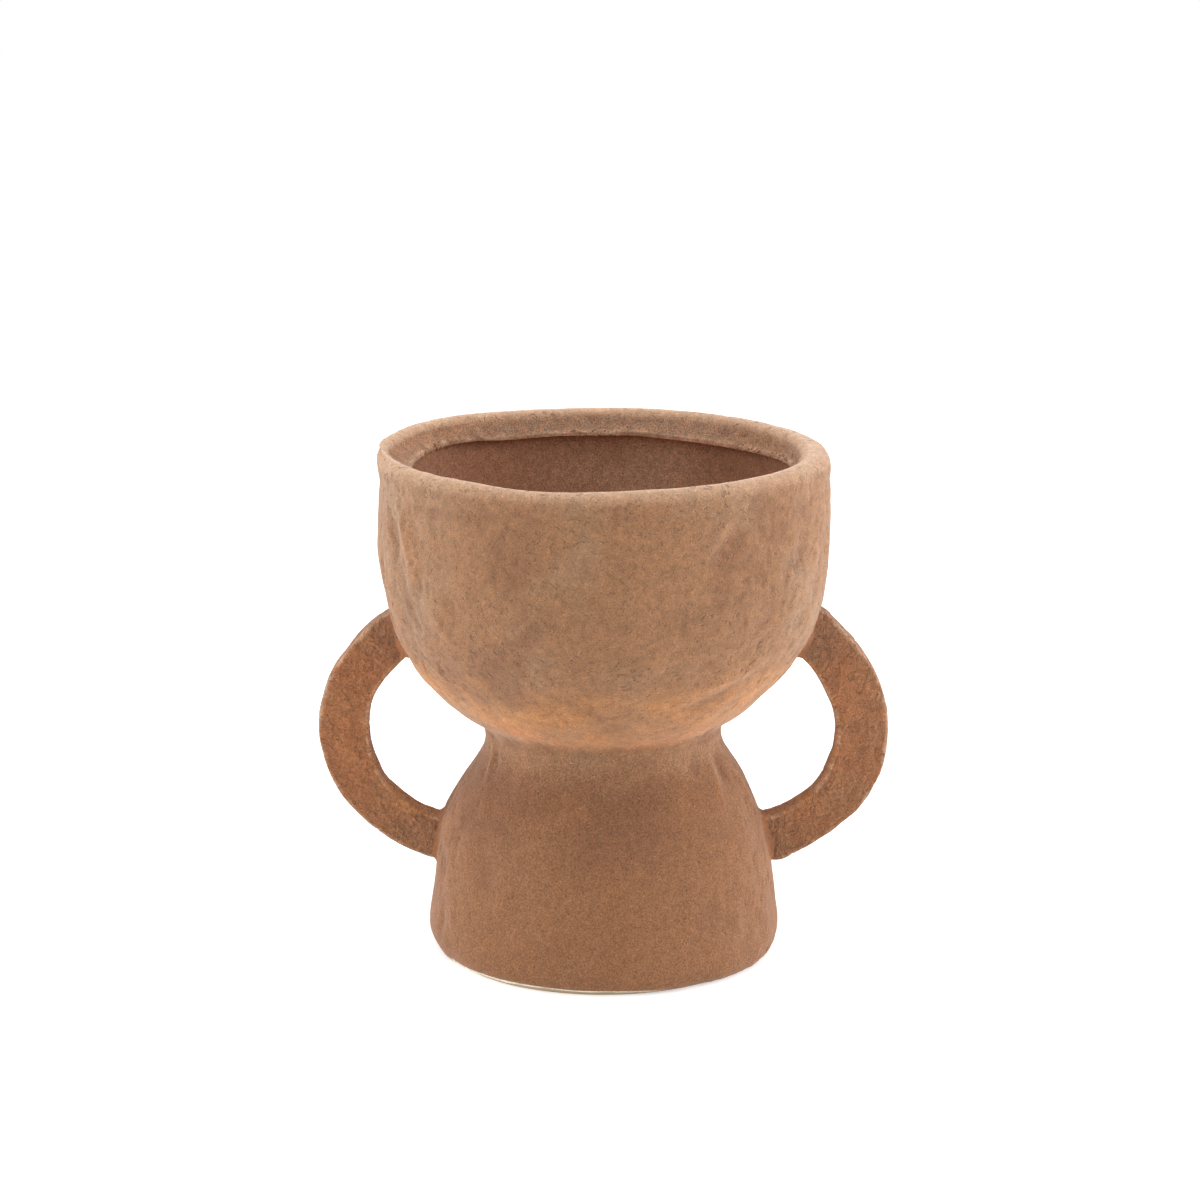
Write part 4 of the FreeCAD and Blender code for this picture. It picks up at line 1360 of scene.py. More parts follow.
def slip_row(strap, outline, index, angle, upper, middle, wall):
    """Points across the slip at one point of the strap's outline: over its hollow face, then its root."""
    share, depth = outline.places[index]
    hit = strap.point(share, depth, angle)
    step = math.radians(-1.0 if upper else 1.0)
    along = (strap.point(share, depth, angle + step) - hit).normalized()
    face, normal = wall.find_nearest(hit)[:2]
    out = hit - middle
    out -= normal * out.dot(normal)
    out.normalize()
    wave = noise.noise(hit * SLIP_WAVE_RATE + Vector((strap.side * 9.0, 0.0, 5.0 if upper else 1.0)))
    reach = strap.sizes.slip_reach * (1.0 + SLIP_UNEVEN * wave)
    inwards = outline.outward[index]
    band = (strap.point(1.0, depth, angle) - strap.point(0.0, depth, angle)).normalized()
    skin = band * inwards[0] + Vector((0.0, inwards[1], 0.0))
    start = hit + along * reach * SLIP_STRETCH - skin * SLIP_STRAP_SUNK
    edge, edge_normal = wall.find_nearest(face + out * reach)[:2]
    end = edge - edge_normal * SLIP_WALL_SUNK
    corner = face + normal * SLIP_STANDS + skin * SLIP_STANDS
    row = []
    for part in range(SLIP_STEPS + 1):
        run = part / SLIP_STEPS
        row.append(start * (1.0 - run) ** 2 + corner * 2.0 * run * (1.0 - run) + end * run ** 2)
    row.append(face - normal * SLIP_ROOT - out * SLIP_ROOT)
    return row


def slip_mesh(name, sizes, side, upper, wall):
    """Closed ring of slip pressed into the corner between a handle's end and the wall."""
    strap = Strap(sizes, side)
    outline = strap_section(sizes)
    count = len(outline.places)
    angles = [strap.meets(share, depth, upper) for share, depth in outline.places]
    hits = [strap.point(place[0], place[1], angle) for place, angle in zip(outline.places, angles)]
    middle = sum(hits, Vector()) / count
    points = []
    for index, angle in enumerate(angles):
        points += slip_row(strap, outline, index, angle, upper, middle, wall)
    size = len(points) // count
    faces = []
    for index in range(count):
        here = index * size
        following = (index + 1) % count * size
        for part in range(size):
            after = (part + 1) % size
            faces.append((here + part, here + after, following + after, following + part))
    mesh = bpy.data.meshes.new(name)
    mesh.from_pydata([tuple(point) for point in points], [], faces)
    return mesh


def grain_group():
    """Shader group: sandy grain with pale and dark specks on a colour."""
    tree = bpy.data.node_groups.get("sand_grain")
    if tree:
        return tree
    inputs = [
        ("Place", "Vector", None),
        ("Colour", "Color", None),
        ("Fineness", "Float", 1500.0),
        ("Contrast", "Float", 0.3),
        ("Pale Specks", "Float", 0.05),
        ("Dark Specks", "Float", 0.08),
    ]
    outputs = [("Colour", "Color"), ("Height", "Float")]
    graph, given = new_group("sand_grain", "ShaderNodeTree", inputs, outputs)
    place = given["Place"]
    fine = graph.clouds(place, given["Fineness"], detail=2.0, roughness=0.7)[0]
    change = graph.product(graph.math("SUBTRACT", fine, 0.5), given["Contrast"])
    shade = graph.math("MULTIPLY_ADD", change, 4.0, 1.0)
    colour = graph.scale(given["Colour"], shade)
    masks = []
    for rate, share, size in ((0.95, "Pale Specks", 0.42), (0.8, "Dark Specks", 0.45)):
        scale = graph.product(given["Fineness"], rate)
        cells = graph.add("ShaderNodeTexVoronoi", {"Vector": place, "Scale": scale}).outputs
        draw = graph.parts(cells["Color"])[0]
        chosen = graph.math("LESS_THAN", draw, given[share])
        spot = graph.between(cells["Distance"], size * 0.5, size, 1.0, 0.0)
        masks.append(graph.product(chosen, spot))
    pale, dark = masks
    colour = graph.tint(graph.product(pale, 0.75), colour, graph.scale(colour, 1.7))
    colour = graph.tint(graph.product(dark, 0.75), colour, graph.scale(colour, 0.42))
    raised = graph.math("MULTIPLY_ADD", pale, 0.25, fine)
    height = graph.math("SUBTRACT", raised, graph.product(dark, 0.5))
    graph.add("NodeGroupOutput", {"Colour": colour, "Height": height})
    return graph.tree


def mottle_group():
    """Shader group: uneven firing, as a colour drifting towards a second and a third one in patches."""
    tree = bpy.data.node_groups.get("kiln_mottle")
    if tree:
        return tree
    inputs = [
        ("Place", "Vector", None),
        ("Colour", "Color", None),
        ("Second", "Color", None),
        ("Third", "Color", None),
        ("Patch Scale", "Float", 30.0),
        ("Second Share", "Float", 0.6),
        ("Third Share", "Float", 0.5),
        ("Seed", "Float", 0.0),
    ]
    graph, given = new_group("kiln_mottle", "ShaderNodeTree", inputs, [("Colour", "Color")])
    place = given["Place"]
    broad = graph.clouds(place, given["Patch Scale"], detail=4.0, roughness=0.55, seed=given["Seed"])[0]
    small_scale = graph.product(given["Patch Scale"], 2.7)
    small_seed = graph.math("ADD", given["Seed"], 3.1)
    small = graph.clouds(place, small_scale, detail=4.0, roughness=0.6, seed=small_seed)[0]
    second = graph.product(graph.between(broad, 0.46, 0.66), given["Second Share"])
    third = graph.product(graph.between(small, 0.5, 0.68), given["Third Share"])
    colour = graph.tint(second, given["Colour"], given["Second"])
    colour = graph.tint(third, colour, given["Third"])
    shade = graph.math("MULTIPLY_ADD", graph.math("SUBTRACT", small, 0.5), 0.35, 1.0)
    graph.add("NodeGroupOutput", {"Colour": graph.scale(colour, shade)})
    return graph.tree


def pits_group():
    """Shader group: short drag pits in worked clay, as a mask."""
    tree = bpy.data.node_groups.get("drag_pits")
    if tree:
        return tree
    inputs = [
        ("Place", "Vector", None),
        ("Stretch", "Vector", (1.0, 1.0, 0.5)),
        ("Scale", "Float", 520.0),
        ("Share", "Float", 0.5),
        ("Seed", "Float", 0.0),
    ]
    graph, given = new_group("drag_pits", "ShaderNodeTree", inputs, [("Mask", "Float")])
    seed = given["Seed"]
    place = graph.vector("MULTIPLY", given["Place"], given["Stretch"])
    holes = graph.clouds(place, given["Scale"], detail=1.0, roughness=0.4, seed=seed, distortion=0.6)[0]
    patch_scale = graph.product(given["Scale"], 0.09)
    patch = graph.clouds(given["Place"], patch_scale, detail=2.0, seed=seed)[0]
    ease = graph.product(graph.math("SUBTRACT", patch, 0.5), 0.35)
    level = graph.math("SUBTRACT", graph.math("MULTIPLY_ADD", given["Share"], -0.22, 0.76), ease)
    above = graph.math("SUBTRACT", holes, level)
    graph.add("NodeGroupOutput", {"Mask": graph.between(above, 0.0, 0.09)})
    return graph.tree


def relief_shade_group():
    """Shader group: painted shade in the hollows of the relief and a painted highlight on its ridges."""
    tree = bpy.data.node_groups.get("hollow_tone")
    if tree:
        return tree
    inputs = [
        ("Colour", "Color", None),
        ("Relief", "Float", 0.0),
        ("Dark", "Color", None),
        ("Share", "Float", 0.4),
    ]
    graph, given = new_group("hollow_tone", "ShaderNodeTree", inputs, [("Colour", "Color")])
    # Hollows of the relief get a painted shade.
    hollow = graph.product(graph.between(given["Relief"], -0.08, -0.55), given["Share"])
    # Ridges of the relief get a painted highlight.
    ridge_highlight = graph.product(graph.between(given["Relief"], 0.12, 0.6), given["Share"])
    colour = graph.tint(hollow, given["Colour"], given["Dark"])
    colour = graph.tint(graph.product(ridge_highlight, 0.7), colour, graph.scale(given["Colour"], 1.3))
    graph.add("NodeGroupOutput", {"Colour": colour})
    return graph.tree


def solid(colour):
    """Colour with full alpha."""
    return (colour[0], colour[1], colour[2], 1.0)


class ClayGraph(Graph):
    """Material under construction, with the shared groups at hand."""

    def __init__(self, name):
        self.material = bpy.data.materials.new(name)
        self.material.use_nodes = True
        self.material.node_tree.nodes.clear()
        super().__init__(self.material.node_tree)
        self.place = self.add("ShaderNodeTexCoord").outputs["Object"]

    def group(self, tree, **feeds):
        """Shared group with its own values. Feeds are the group's inputs, with spaces as underscores."""
        inputs = {name.replace("_", " "): feed for name, feed in feeds.items()}
        return self.add("ShaderNodeGroup", inputs, node_tree=tree).outputs

    def look(self, name):
        """Number that the mesh keeps under a name."""
        return self.add("ShaderNodeAttribute", attribute_name=name).outputs["Fac"]

    def reach(self, value, name, first=0.0, last=1.0):
        """Smooth step between the two ends that the table of reaches has under a name."""
        return self.between(value, *REACHES[name], first, last)

    def patches(self, scale, ends, shares=(0.0, 1.0), **settings):
        """Cloudy mask, with one share at the noise's lower end and the other at its upper end."""
        cloud = self.clouds(self.place, scale, detail=3.0, **settings)[0]
        return self.between(cloud, *ends, *shares)

    def paint(self, colour, coat, *shares):
        """Colour under a coat of another one, as strong as the product of the shares."""
        return self.tint(self.product(*shares), colour, solid(coat))

    def mottled(self, colours, scale, second_share, third_share, seed=0.0):
        """Clay of three colours in uneven patches."""
        first, second, third = [solid(colour) for colour in colours]
        return self.group(
            mottle_group(), Place=self.place, Colour=first, Second=second, Third=third, Patch_Scale=scale,
            Second_Share=second_share, Third_Share=third_share, Seed=seed)["Colour"]

    def relief_shaded(self, colour, dark, share):
        """Colour with painted shade in its relief's hollows and a painted highlight on its ridges."""
        relief = self.look("relief")
        return self.group(
            relief_shade_group(), Colour=colour, Relief=relief, Dark=solid(dark), Share=share)["Colour"]

    def pitted(self, stretch, scale, share, seed=0.0):
        """Mask of drag pits."""
        return self.group(
            pits_group(), Place=self.place, Stretch=stretch, Scale=scale, Share=share, Seed=seed)["Mask"]

    def grained(self, colour, fineness, contrast, pale=0.04, dark=0.05):
        """Colour and height of the sandy grain."""
        return self.group(
            grain_group(), Place=self.place, Colour=colour, Fineness=fineness, Contrast=contrast,
            Pale_Specks=pale, Dark_Specks=dark)

    def finish(self, grain, height, depth, rough=(0.84, 0.97)):
        """Rough clay surface with the grain's colour, this bump, and the roughness of low and high grains."""
        bump = self.add("ShaderNodeBump", {"Strength": 1.0, "Distance": depth, "Height": height}).outputs[0]
        feeds = {
            "Base Color": grain["Colour"],
            "Roughness": self.between(grain["Height"], 0.2, 0.8, *rough),
            "Normal": bump,
            "Specular IOR Level": 0.3,
            "Diffuse Roughness": 0.6,
            "Sheen Weight": 0.2,
            "Sheen Roughness": 0.45,
        }
        surface = self.add("ShaderNodeBsdfPrincipled", feeds).outputs[0]
        self.add("ShaderNodeOutputMaterial", {"Surface": surface})
        return self.material


def fired_tones(graph, colours, level, wave):
    """Colours of the fire: brown below the waist, orange above it. Also the mask of the orange flush."""
    wavy = graph.math("MULTIPLY_ADD", wave, 0.03, level)
    colour = graph.mottled((colours.clay, colours.ash, colours.umber), 26.0, 0.6, 0.22)
    colour = graph.paint(colour, colours.brown, graph.reach(wavy, "brown"), 0.8)
    dusk = graph.product(graph.reach(wavy, "dusk_top"), graph.reach(wavy, "dusk_foot"))
    dusk_cloud = graph.patches(22.0, (0.38, 0.56), seed=3.0)
    colour = graph.paint(colour, colours.umber, dusk, dusk_cloud, 0.75)
    patchy = graph.patches(60.0, (0.36, 0.6), (0.35, 1.0), seed=5.0)
    flush = graph.product(graph.reach(wavy, "flush_top"), graph.reach(level, "flush_foot"), patchy)
    colour = graph.paint(colour, colours.flush, flush, 0.95)
    ember = graph.product(graph.reach(level, "ember_foot"), graph.reach(wavy, "ember_top"))
    red, green, blue = colours.flush
    glow = (red, green * 0.8, blue * 0.7)
    colour = graph.paint(colour, glow, ember, graph.between(patchy, 0.35, 1.0, 0.05, 0.4))
    band = graph.product(graph.reach(wavy, "band_foot"), graph.reach(level, "band_top"))
    colour = graph.paint(colour, colours.ash, band, 0.25)
    crease = graph.product(graph.reach(level, "crease_foot"), graph.reach(level, "crease_top"))
    crease_wave = graph.patches(70.0, (0.42, 0.62), (0.0, 0.5), seed=8.0)
    return graph.paint(colour, colours.umber, crease, crease_wave), flush


def inner_tones(graph, colours, colour, aside, level, wave, inside, shelf):
    """Colour with the tones of the bowl's inside and of the slope under the lip, with painted shade on the
    inside's right and at the slope's ends and a painted highlight along the lip's outside.
    """
    colour = graph.paint(colour, colours.inside, inside, 0.85)
    haze = graph.product(graph.reach(aside, "haze_left"), graph.reach(aside, "haze_right"))
    haze = graph.product(haze, graph.between(wave, -0.15, 0.1, 0.25, 0.6), graph.reach(level, "haze_top"))
    colour = graph.paint(colour, colours.lip, inside, haze)
    # The right of the bowl's inside is painted darker, a painted shade.
    colour = graph.paint(colour, colours.umber, inside, graph.reach(aside, "inside_shade", 0.0, 0.4))
    # The slope under the lip is painted a darker speckled grey: partly its own grey clay, partly painted
    # shade.
    shelf_cloud = graph.patches(260.0, (0.35, 0.65), (0.35, 0.9), roughness=0.7)
    colour = graph.paint(colour, [part * 0.66 for part in colours.ash], shelf, shelf_cloud)
    # Both ends of the slope under the lip are painted browner, a painted shade.
    ends = graph.reach(graph.math("ABSOLUTE", aside), "shaded_shelf_ends", 0.0, 0.55)
    colour = graph.paint(colour, colours.brown, shelf, ends)
    # A paler band along the outside of the lip is a painted highlight.
    brow_highlight = graph.reach(level, "brow_highlight")
    return graph.paint(colour, colours.lip, brow_highlight, graph.between(inside, 0.0, 1.0, 0.4, 0.0))


def rubbed_tones(graph, colours, colour, aside, behind, level):
    """Colour with the paler lip and ledge, and the bare line along the front of the slab's lower edge."""
    ragged = graph.patches(120.0, (0.42, 0.66), (0.05, 0.6), seed=2.0)
    rubbed = graph.math("MAXIMUM", graph.look("worn"), graph.product(graph.look("ledge"), ragged))
    colour = graph.paint(colour, colours.lip, rubbed, 0.8)
    bare = graph.product(graph.reach(aside, "bare_left"), graph.reach(aside, "bare_right"))
    edge = graph.math("MULTIPLY_ADD", aside, 0.018, level)
    bare = graph.product(bare, graph.reach(behind, "bare_front"), graph.reach(edge, "bare_edge"))
    return graph.paint(colour, colours.bare, bare)


def vessel_clay(colours):
    """Terracotta of the bowl, rim, neck, pedestal and slab: mottled, pitted and flushed above the waist."""
    if "vessel_clay" in bpy.data.materials:
        return bpy.data.materials["vessel_clay"]
    graph = ClayGraph("vessel_clay")
    aside, behind, level = graph.parts(graph.place)
    inside = graph.look("inside")
    shelf = graph.product(inside, graph.reach(level, "shelf"))
    cloud = graph.clouds(graph.place, 34.0, detail=4.0, roughness=0.6, seed=1.0)[0]
    wave = graph.math("SUBTRACT", cloud, 0.5)
    colour, flush = fired_tones(graph, colours, level, wave)
    colour = inner_tones(graph, colours, colour, aside, level, wave, inside, shelf)
    colour = rubbed_tones(graph, colours, colour, aside, behind, level)
    # Painted shade in the relief's hollows and painted highlight on its ridges.
    colour = graph.relief_shaded(colour, colours.umber, 0.45)
    upright = graph.pitted((0.75, 0.75, 1.0), 480.0, 0.46)
    small = graph.pitted((1.0, 1.0, 0.8), 900.0, 0.5, seed=4.0)
    rougher = graph.reach(level, "bowl", 0.35, 1.0)
    rougher = graph.product(rougher, graph.between(inside, 0.0, 1.0, 1.0, 0.12))
    rougher = graph.product(rougher, graph.between(flush, 0.0, 0.8, 1.0, 0.3))
    pits = graph.product(graph.math("MAXIMUM", upright, graph.product(small, 0.7)), rougher)
    blotch = graph.clouds(graph.place, 340.0, detail=3.0, roughness=0.62, seed=7.0, distortion=0.4)[0]
    blotchy = graph.reach(level, "bowl", 0.6, 0.85)
    shade = graph.math("MULTIPLY_ADD", graph.math("SUBTRACT", blotch, 0.5), blotchy, 1.0)
    colour = graph.scale(colour, shade)
    colour = graph.paint(colour, colours.umber, pits, 0.42)
    sandy = graph.reach(level, "bowl", 0.56, 0.33)
    sandy = graph.math("MULTIPLY_ADD", inside, 0.25, sandy)
    sandy = graph.math("MULTIPLY_ADD", shelf, 0.15, sandy)
    grain = graph.grained(colour, 1700.0, sandy, pale=0.05, dark=0.06)
    height = graph.math("MULTIPLY_ADD", grain["Height"], 0.3, graph.product(pits, -1.0))
    return graph.finish(grain, height, 0.35 * MM)


def handle_clay(colours):
    """Redder terracotta of the handles: dented faces, rubbed edges, painted shade towards the ends and in the
    dents, painted light along the inner edge.
    """
    if "handle_clay" in bpy.data.materials:
        return bpy.data.materials["handle_clay"]
    graph = ClayGraph("handle_clay")
    place = graph.parts(graph.place)
    aside = place[0]
    level = place[2]
    warm = graph.reach(aside, "handles", 0.55, 0.08)
    colour = graph.mottled((colours.handle, colours.clay, colours.flush), 34.0, 0.6, warm, seed=6.0)
    colour = graph.paint(colour, colours.ash, graph.reach(aside, "right_handle", 0.0, 0.1))
    from_middle = graph.math("ABSOLUTE", graph.math("SUBTRACT", graph.look("along"), 0.5))
    # The ends are painted darker and greyer towards the wall, a painted shade.
    root = graph.between(from_middle, 0.3, 0.48)
    colour = graph.paint(colour, colours.umber, root, 0.35)
    colour = graph.paint(colour, colours.ash, root, 0.3)
    cloud = graph.clouds(graph.place, 120.0, detail=2.0, seed=3.0)[0]
    bend = graph.math("MULTIPLY_ADD", cloud, 0.004, aside)
    seam = graph.product(graph.reach(bend, "seam_left"), graph.reach(bend, "seam_right"))
    colour = graph.paint(colour, colours.umber, seam, graph.reach(level, "seam_top", 0.0, 0.7))
    # The strap's inner edge is painted a paler orange, a painted light on the edge that faces up.
    inner = graph.between(graph.look("across"), 0.9, 0.98)
    colour = graph.paint(colour, colours.flush, inner, 0.8)
    chipped = graph.patches(160.0, (0.4, 0.62), seed=4.0)
    colour = graph.paint(colour, colours.lip, graph.look("worn"), chipped, 0.6)
    # Painted shade in the relief's hollows and painted highlight on its ridges.
    colour = graph.relief_shaded(colour, colours.umber, 0.35)
    coarse = graph.pitted((1.0, 1.0, 0.7), 420.0, 0.62, seed=2.0)
    small = graph.pitted((0.7, 1.0, 1.0), 850.0, 0.55, seed=9.0)
    pits = graph.math("MAXIMUM", coarse, graph.product(small, 0.7))
    colour = graph.paint(colour, colours.umber, pits, 0.5)
    # Worm-like relief, also painted into the colour as shade in its hollows and highlight on its tops.
    worms = graph.clouds(graph.place, 290.0, detail=3.0, roughness=0.55, seed=5.0, distortion=1.6)[0]
    shade = graph.math("MULTIPLY_ADD", graph.math("SUBTRACT", worms, 0.5), 0.9, 1.0)
    colour = graph.scale(colour, shade)
    grain = graph.grained(colour, 1600.0, 0.36)
    height = graph.math("MULTIPLY_ADD", grain["Height"], 0.35, graph.product(pits, -0.8))
    height = graph.math("MULTIPLY_ADD", worms, 4.6, height)
    return graph.finish(grain, height, 0.55 * MM)


def slip_clay(colours):
    """Smeared slip at the ends of the handles: darker, with a fine grain."""
    if "slip_clay" in bpy.data.materials:
        return bpy.data.materials["slip_clay"]
    graph = ClayGraph("slip_clay")
    colour = graph.mottled((colours.handle, colours.umber, colours.clay), 70.0, 0.6, 0.5, seed=2.0)
    pits = graph.pitted((1.0, 1.0, 0.7), 700.0, 0.45, seed=3.0)
    colour = graph.paint(colour, colours.umber, pits, 0.5)
    grain = graph.grained(colour, 1700.0, 0.3)
    height = graph.math("MULTIPLY_ADD", grain["Height"], 0.35, graph.product(pits, -1.0))
    return graph.finish(grain, height, 0.3 * MM)


def bare_clay(colours):
    """Pale clay of the foot ring, rubbed by the table."""
    if "bare_clay" in bpy.data.materials:
        return bpy.data.materials["bare_clay"]
    graph = ClayGraph("bare_clay")
    colour = graph.mottled((colours.bare, colours.lip, colours.clay), 90.0, 0.2, 0.12, seed=4.0)
    grain = graph.grained(colour, 1600.0, 0.2)
    return graph.finish(grain, grain["Height"], 0.15 * MM, rough=(0.86, 0.98))


def seen_rays(graph):
    """One for the camera's rays, straight or by way of a gloss or a glass, and zero for all other light."""
    path = graph.add("ShaderNodeLightPath").outputs
    seen = graph.math("MAXIMUM", path["Is Camera Ray"], path["Is Glossy Ray"])
    return graph.math("MAXIMUM", seen, path["Is Transmission Ray"])


def floor_white(stage):
    """Pale floor that keeps the vase's shadow and is lifted to white for the camera."""
    material = bpy.data.materials.new("floor_white")
    material.use_nodes = True
    material.node_tree.nodes.clear()
    graph = Graph(material.node_tree)
    lift = graph.product(seen_rays(graph), 0.5)
    paint = graph.add("ShaderNodeBsdfDiffuse", {"Color": solid(stage.floor_colour)}).outputs[0]
    glow = graph.add("ShaderNodeEmission", {"Color": WHITE, "Strength": lift}).outputs[0]
    both = graph.add("ShaderNodeAddShader", {0: paint, 1: glow}).outputs[0]
    graph.add("ShaderNodeOutputMaterial", {"Surface": both})
    return material


class CLAYVASE_OT_bowl(bpy.types.Operator):
    """Form the bowl's wall"""

    bl_idname = "clay_vase.form_bowl"
    bl_label = "Form bowl"
    bl_options = {"REGISTER", "UNDO"}

    def execute(self, context):
        vase = context.scene.clay_vase
        obj = turn_piece(context, "bowl", bowl_section(vase.sizes), vessel_clay(vase.colours))
        settle(obj, "bowl")
        return {"FINISHED"}


class CLAYVASE_OT_rim(bpy.types.Operator):
    """Form the rim coil with its lip, ledge and crumbs"""

    bl_idname = "clay_vase.form_rim"
    bl_label = "Form rim"
    bl_options = {"REGISTER", "UNDO"}

    def execute(self, context):
        vase = context.scene.clay_vase
        clay = vessel_clay(vase.colours)
        obj = turn_piece(context, "rim_coil", rim_section(vase.sizes), clay)
        values = {"Crumb Size": vase.relief.crumb_size, "Share": CRUMB_SHARE}
        values["Seed"] = vase.relief.seed
        values["Clay"] = clay
        run_tree(context, obj, burr_tree(), values)
        settle(obj, "rim_coil")
        return {"FINISHED"}


class CLAYVASE_OT_neck(bpy.types.Operator):
    """Form the coil at the waist"""

    bl_idname = "clay_vase.form_neck"
    bl_label = "Form neck"
    bl_options = {"REGISTER", "UNDO"}

    def execute(self, context):
        vase = context.scene.clay_vase
        obj = turn_piece(context, "neck_coil", neck_section(vase.sizes), vessel_clay(vase.colours))
        settle(obj, "neck_coil")
        return {"FINISHED"}


class CLAYVASE_OT_pedestal(bpy.types.Operator):
    """Form the pedestal's bell-shaped wall"""

    bl_idname = "clay_vase.form_pedestal"
    bl_label = "Form pedestal"
    bl_options = {"REGISTER", "UNDO"}

    def execute(self, context):
        vase = context.scene.clay_vase
        obj = turn_piece(context, "pedestal", pedestal_section(vase.sizes), vessel_clay(vase.colours))
        settle(obj, "pedestal")
        return {"FINISHED"}


class CLAYVASE_OT_base(bpy.types.Operator):
    """Form the floor slab and the bare foot ring under it"""

    bl_idname = "clay_vase.form_base"
    bl_label = "Form base"
    bl_options = {"REGISTER", "UNDO"}

    def execute(self, context):
        vase = context.scene.clay_vase
        clay = vessel_clay(vase.colours)
        slab = turn_piece(context, "base_disc", base_section(vase.sizes), clay, closed=False)
        settle(slab, "base_disc")
        bare = bare_clay(vase.colours)
        ring = turn_piece(context, "foot_ring", ring_section(vase.sizes), bare, depths=RING_DEPTHS)
        settle(ring, "foot_ring")
        return {"FINISHED"}


class CLAYVASE_OT_handles(bpy.types.Operator):
    """Bend the two flat handles"""

    bl_idname = "clay_vase.bend_handles"
    bl_label = "Bend handles"
    bl_options = {"REGISTER", "UNDO"}

    def execute(self, context):
        vase = context.scene.clay_vase
        clay = handle_clay(vase.colours)
        for name, side, seed in (("left", -1, 3), ("right", 1, 8)):
            label = "formed_%s_handle" % name
            outline = strap_section(vase.sizes).mesh(label + "_section", upright=False)
            strap = Strap(vase.sizes, side)
            values = relief_values(vase.relief, *HANDLE_DEPTHS, seed)
            values.update(strap.values())
            values["Dent Size"] = vase.relief.dent_size * HANDLE_DENT_WIDTH
            values["Pit Size"] = vase.relief.pit_size * HANDLE_PIT_WIDTH
            values["Rows"] = HANDLE_ROWS
            values["Clay"] = clay
            obj = grow_piece(context, label, outline, strap_tree(), values)
            bend_by_hand(obj.data, strap, HANDLE_WAVES[name])
            settle(obj, name + "_handle")
        return {"FINISHED"}


class CLAYVASE_OT_slips(bpy.types.Operator):
    """Press slip round the four ends of the handles"""

    bl_idname = "clay_vase.press_slips"
    bl_label = "Press slips"
    bl_options = {"REGISTER", "UNDO"}

    def execute(self, context):
        vase = context.scene.clay_vase
        clay = slip_clay(vase.colours)
        for place, wall_name in (("upper", "formed_bowl"), ("lower", "formed_pedestal")):
            wall_mesh = bpy.data.objects[wall_name].data
            points = [point.co.copy() for point in wall_mesh.vertices]
            wall = BVHTree.FromPolygons(points, [tuple(face.vertices) for face in wall_mesh.polygons])
            for name, side in (("left", -1), ("right", 1)):
                node = "%s_%s_slip" % (name, place)
                mesh = slip_mesh("formed_" + node, vase.sizes, side, place == "upper", wall)
                mesh.materials.append(clay)
                obj = bpy.data.objects.new("formed_" + node, mesh)
                context.scene.collection.objects.link(obj)
                settle(obj, node)
        return {"FINISHED"}


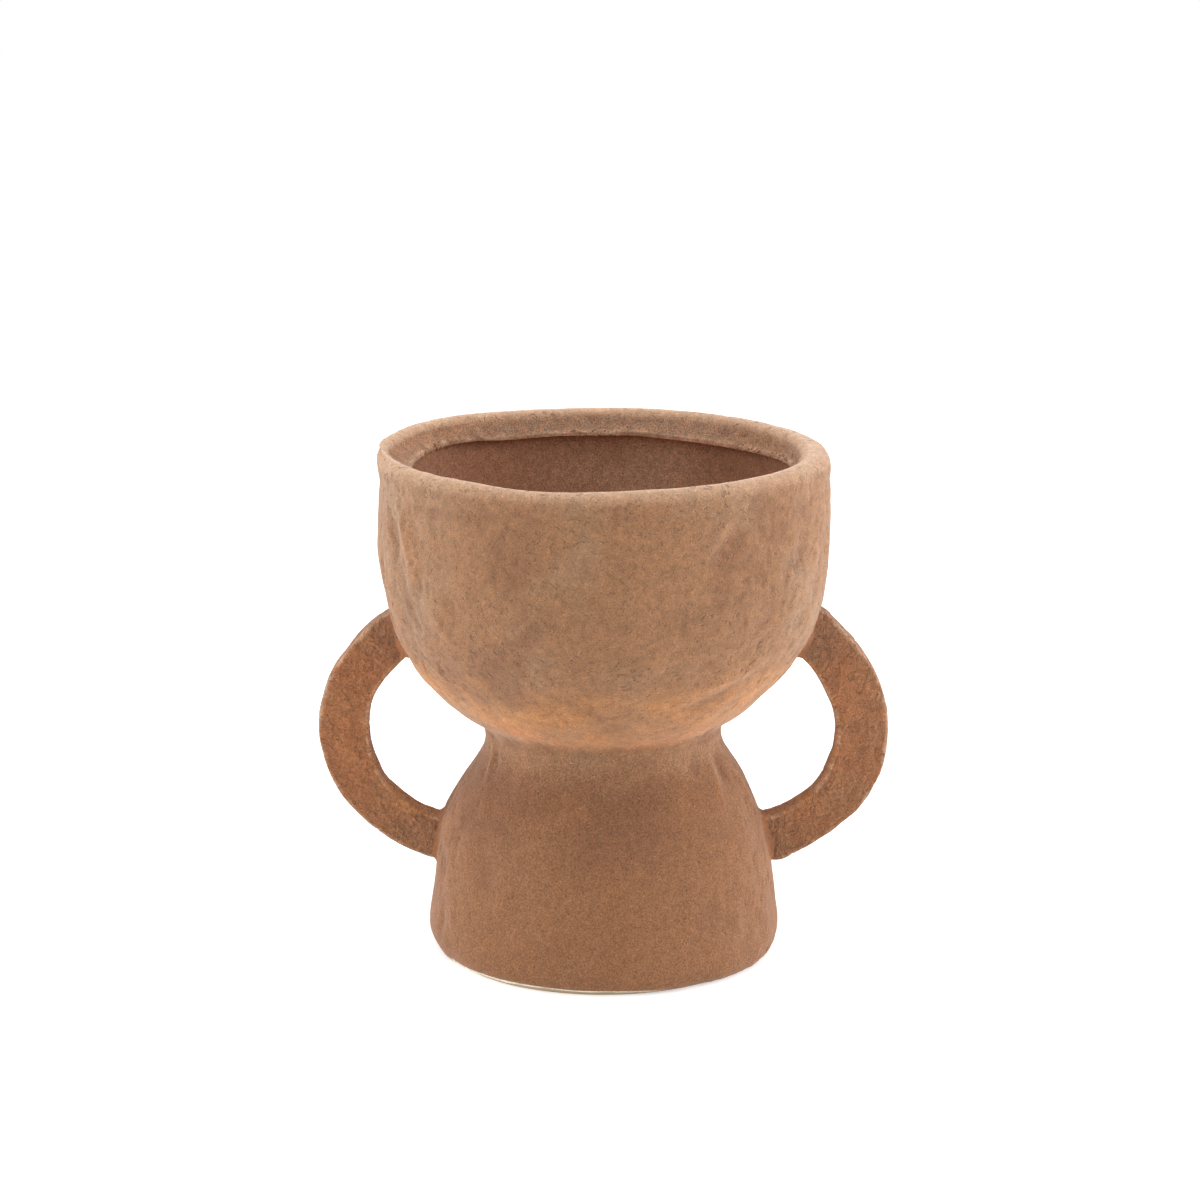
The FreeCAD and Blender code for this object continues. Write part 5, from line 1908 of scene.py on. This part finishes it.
class CLAYVASE_OT_stage(bpy.types.Operator):
    """Set up the floor, the soft light and the camera"""

    bl_idname = "clay_vase.set_stage"
    bl_label = "Set stage"
    bl_options = {"REGISTER", "UNDO"}

    def execute(self, context):
        scene = context.scene
        stage = scene.clay_vase.stage
        self.lay_floor(scene, stage)
        self.light_sky(scene, stage)
        self.hang_lamps(scene, stage)
        self.set_camera(scene, stage)
        scene.view_settings.view_transform = "Standard"
        return {"FINISHED"}

    def lay_floor(self, scene, stage):
        """Square floor under the vase."""
        half = stage.floor_size / 2.0
        corners = [(-half, -half, 0.0), (half, -half, 0.0), (half, half, 0.0), (-half, half, 0.0)]
        mesh = bpy.data.meshes.new("floor")
        mesh.from_pydata(corners, [], [(0, 1, 2, 3)])
        mesh.materials.append(floor_white(stage))
        floor = bpy.data.objects.new("floor", mesh)
        scene.collection.objects.link(floor)

    def light_sky(self, scene, stage):
        """White all round: a plain level for the light, full white where the camera looks at it."""
        world = bpy.data.worlds.new("studio")
        scene.world = world
        world.use_nodes = True
        world.node_tree.nodes.clear()
        graph = Graph(world.node_tree)
        strength = graph.blend(seen_rays(graph), stage.sky_level, 1.0)
        sky = graph.add("ShaderNodeBackground", {"Color": WHITE, "Strength": strength}).outputs[0]
        graph.add("ShaderNodeOutputWorld", {"Surface": sky})

    def hang_lamps(self, scene, stage):
        """Square soft lamps at both sides and overhead, turned to the middle of the vase."""
        middle = Vector((0.0, 0.0, 0.1))
        lamps = (
            ("left_light", (-1.5, -0.1, 0.52), 1.0, stage.side_power * 0.9),
            ("right_light", (1.5, -0.1, 0.52), 1.0, stage.side_power * 1.08),
            ("top_light", (0.0, -0.15, 1.7), 1.4, stage.top_power),
        )
        for name, place, size, power in lamps:
            lamp = bpy.data.lights.new(name, "AREA")
            lamp.shape = "SQUARE"
            lamp.size = size
            lamp.energy = power
            obj = bpy.data.objects.new(name, lamp)
            obj.location = place
            obj.rotation_euler = (middle - Vector(place)).to_track_quat("-Z", "Y").to_euler()
            scene.collection.objects.link(obj)

    def set_camera(self, scene, stage):
        """Camera in front of the vase, at the photograph's viewing angle."""
        camera = bpy.data.cameras.new("camera")
        camera.lens = stage.camera_lens
        camera.sensor_width = 36.0
        camera.clip_start = 0.05
        viewer = bpy.data.objects.new("camera", camera)
        viewer.location = (0.0, -stage.camera_distance, stage.camera_height)
        viewer.rotation_euler = (math.pi / 2.0 - stage.camera_pitch, 0.0, stage.camera_pan)
        scene.collection.objects.link(viewer)
        scene.camera = viewer


STEPS = (
    CLAYVASE_OT_bowl,
    CLAYVASE_OT_rim,
    CLAYVASE_OT_neck,
    CLAYVASE_OT_pedestal,
    CLAYVASE_OT_base,
    CLAYVASE_OT_handles,
    CLAYVASE_OT_slips,
    CLAYVASE_OT_stage,
)


class CLAYVASE_PT_panel(bpy.types.Panel):
    """Steps of making the vase"""

    bl_idname = "CLAYVASE_PT_panel"
    bl_label = "Clay vase"
    bl_space_type = "VIEW_3D"
    bl_region_type = "UI"
    bl_category = "Clay vase"

    def draw(self, context):
        vase = context.scene.clay_vase
        for step in STEPS:
            self.layout.operator(step.bl_idname)
        groups = {"Sizes": vase.sizes, "Relief": vase.relief, "Colours": vase.colours, "Stage": vase.stage}
        for title, group in groups.items():
            box = self.layout.box()
            box.label(text=title)
            for name in group.bl_rna.properties.keys():
                if name not in ("rna_type", "name"):
                    box.prop(group, name)


CLASSES = (VaseSizes, VaseRelief, VaseColours, StageSettings, ClayVase, *STEPS, CLAYVASE_PT_panel)


def register():
    """Make the classes and the scene's settings known."""
    for item in CLASSES:
        bpy.utils.register_class(item)
    bpy.types.Scene.clay_vase = PointerProperty(type=ClayVase)


def unregister():
    """Take the settings and the classes away again."""
    del bpy.types.Scene.clay_vase
    for item in reversed(CLASSES):
        bpy.utils.unregister_class(item)


def main():
    """Form all the pieces and set the stage."""
    register()
    bpy.ops.clay_vase.form_bowl()
    bpy.ops.clay_vase.form_rim()
    bpy.ops.clay_vase.form_neck()
    bpy.ops.clay_vase.form_pedestal()
    bpy.ops.clay_vase.form_base()
    bpy.ops.clay_vase.bend_handles()
    bpy.ops.clay_vase.press_slips()
    bpy.ops.clay_vase.set_stage()


if __name__ == "__main__":
    main()
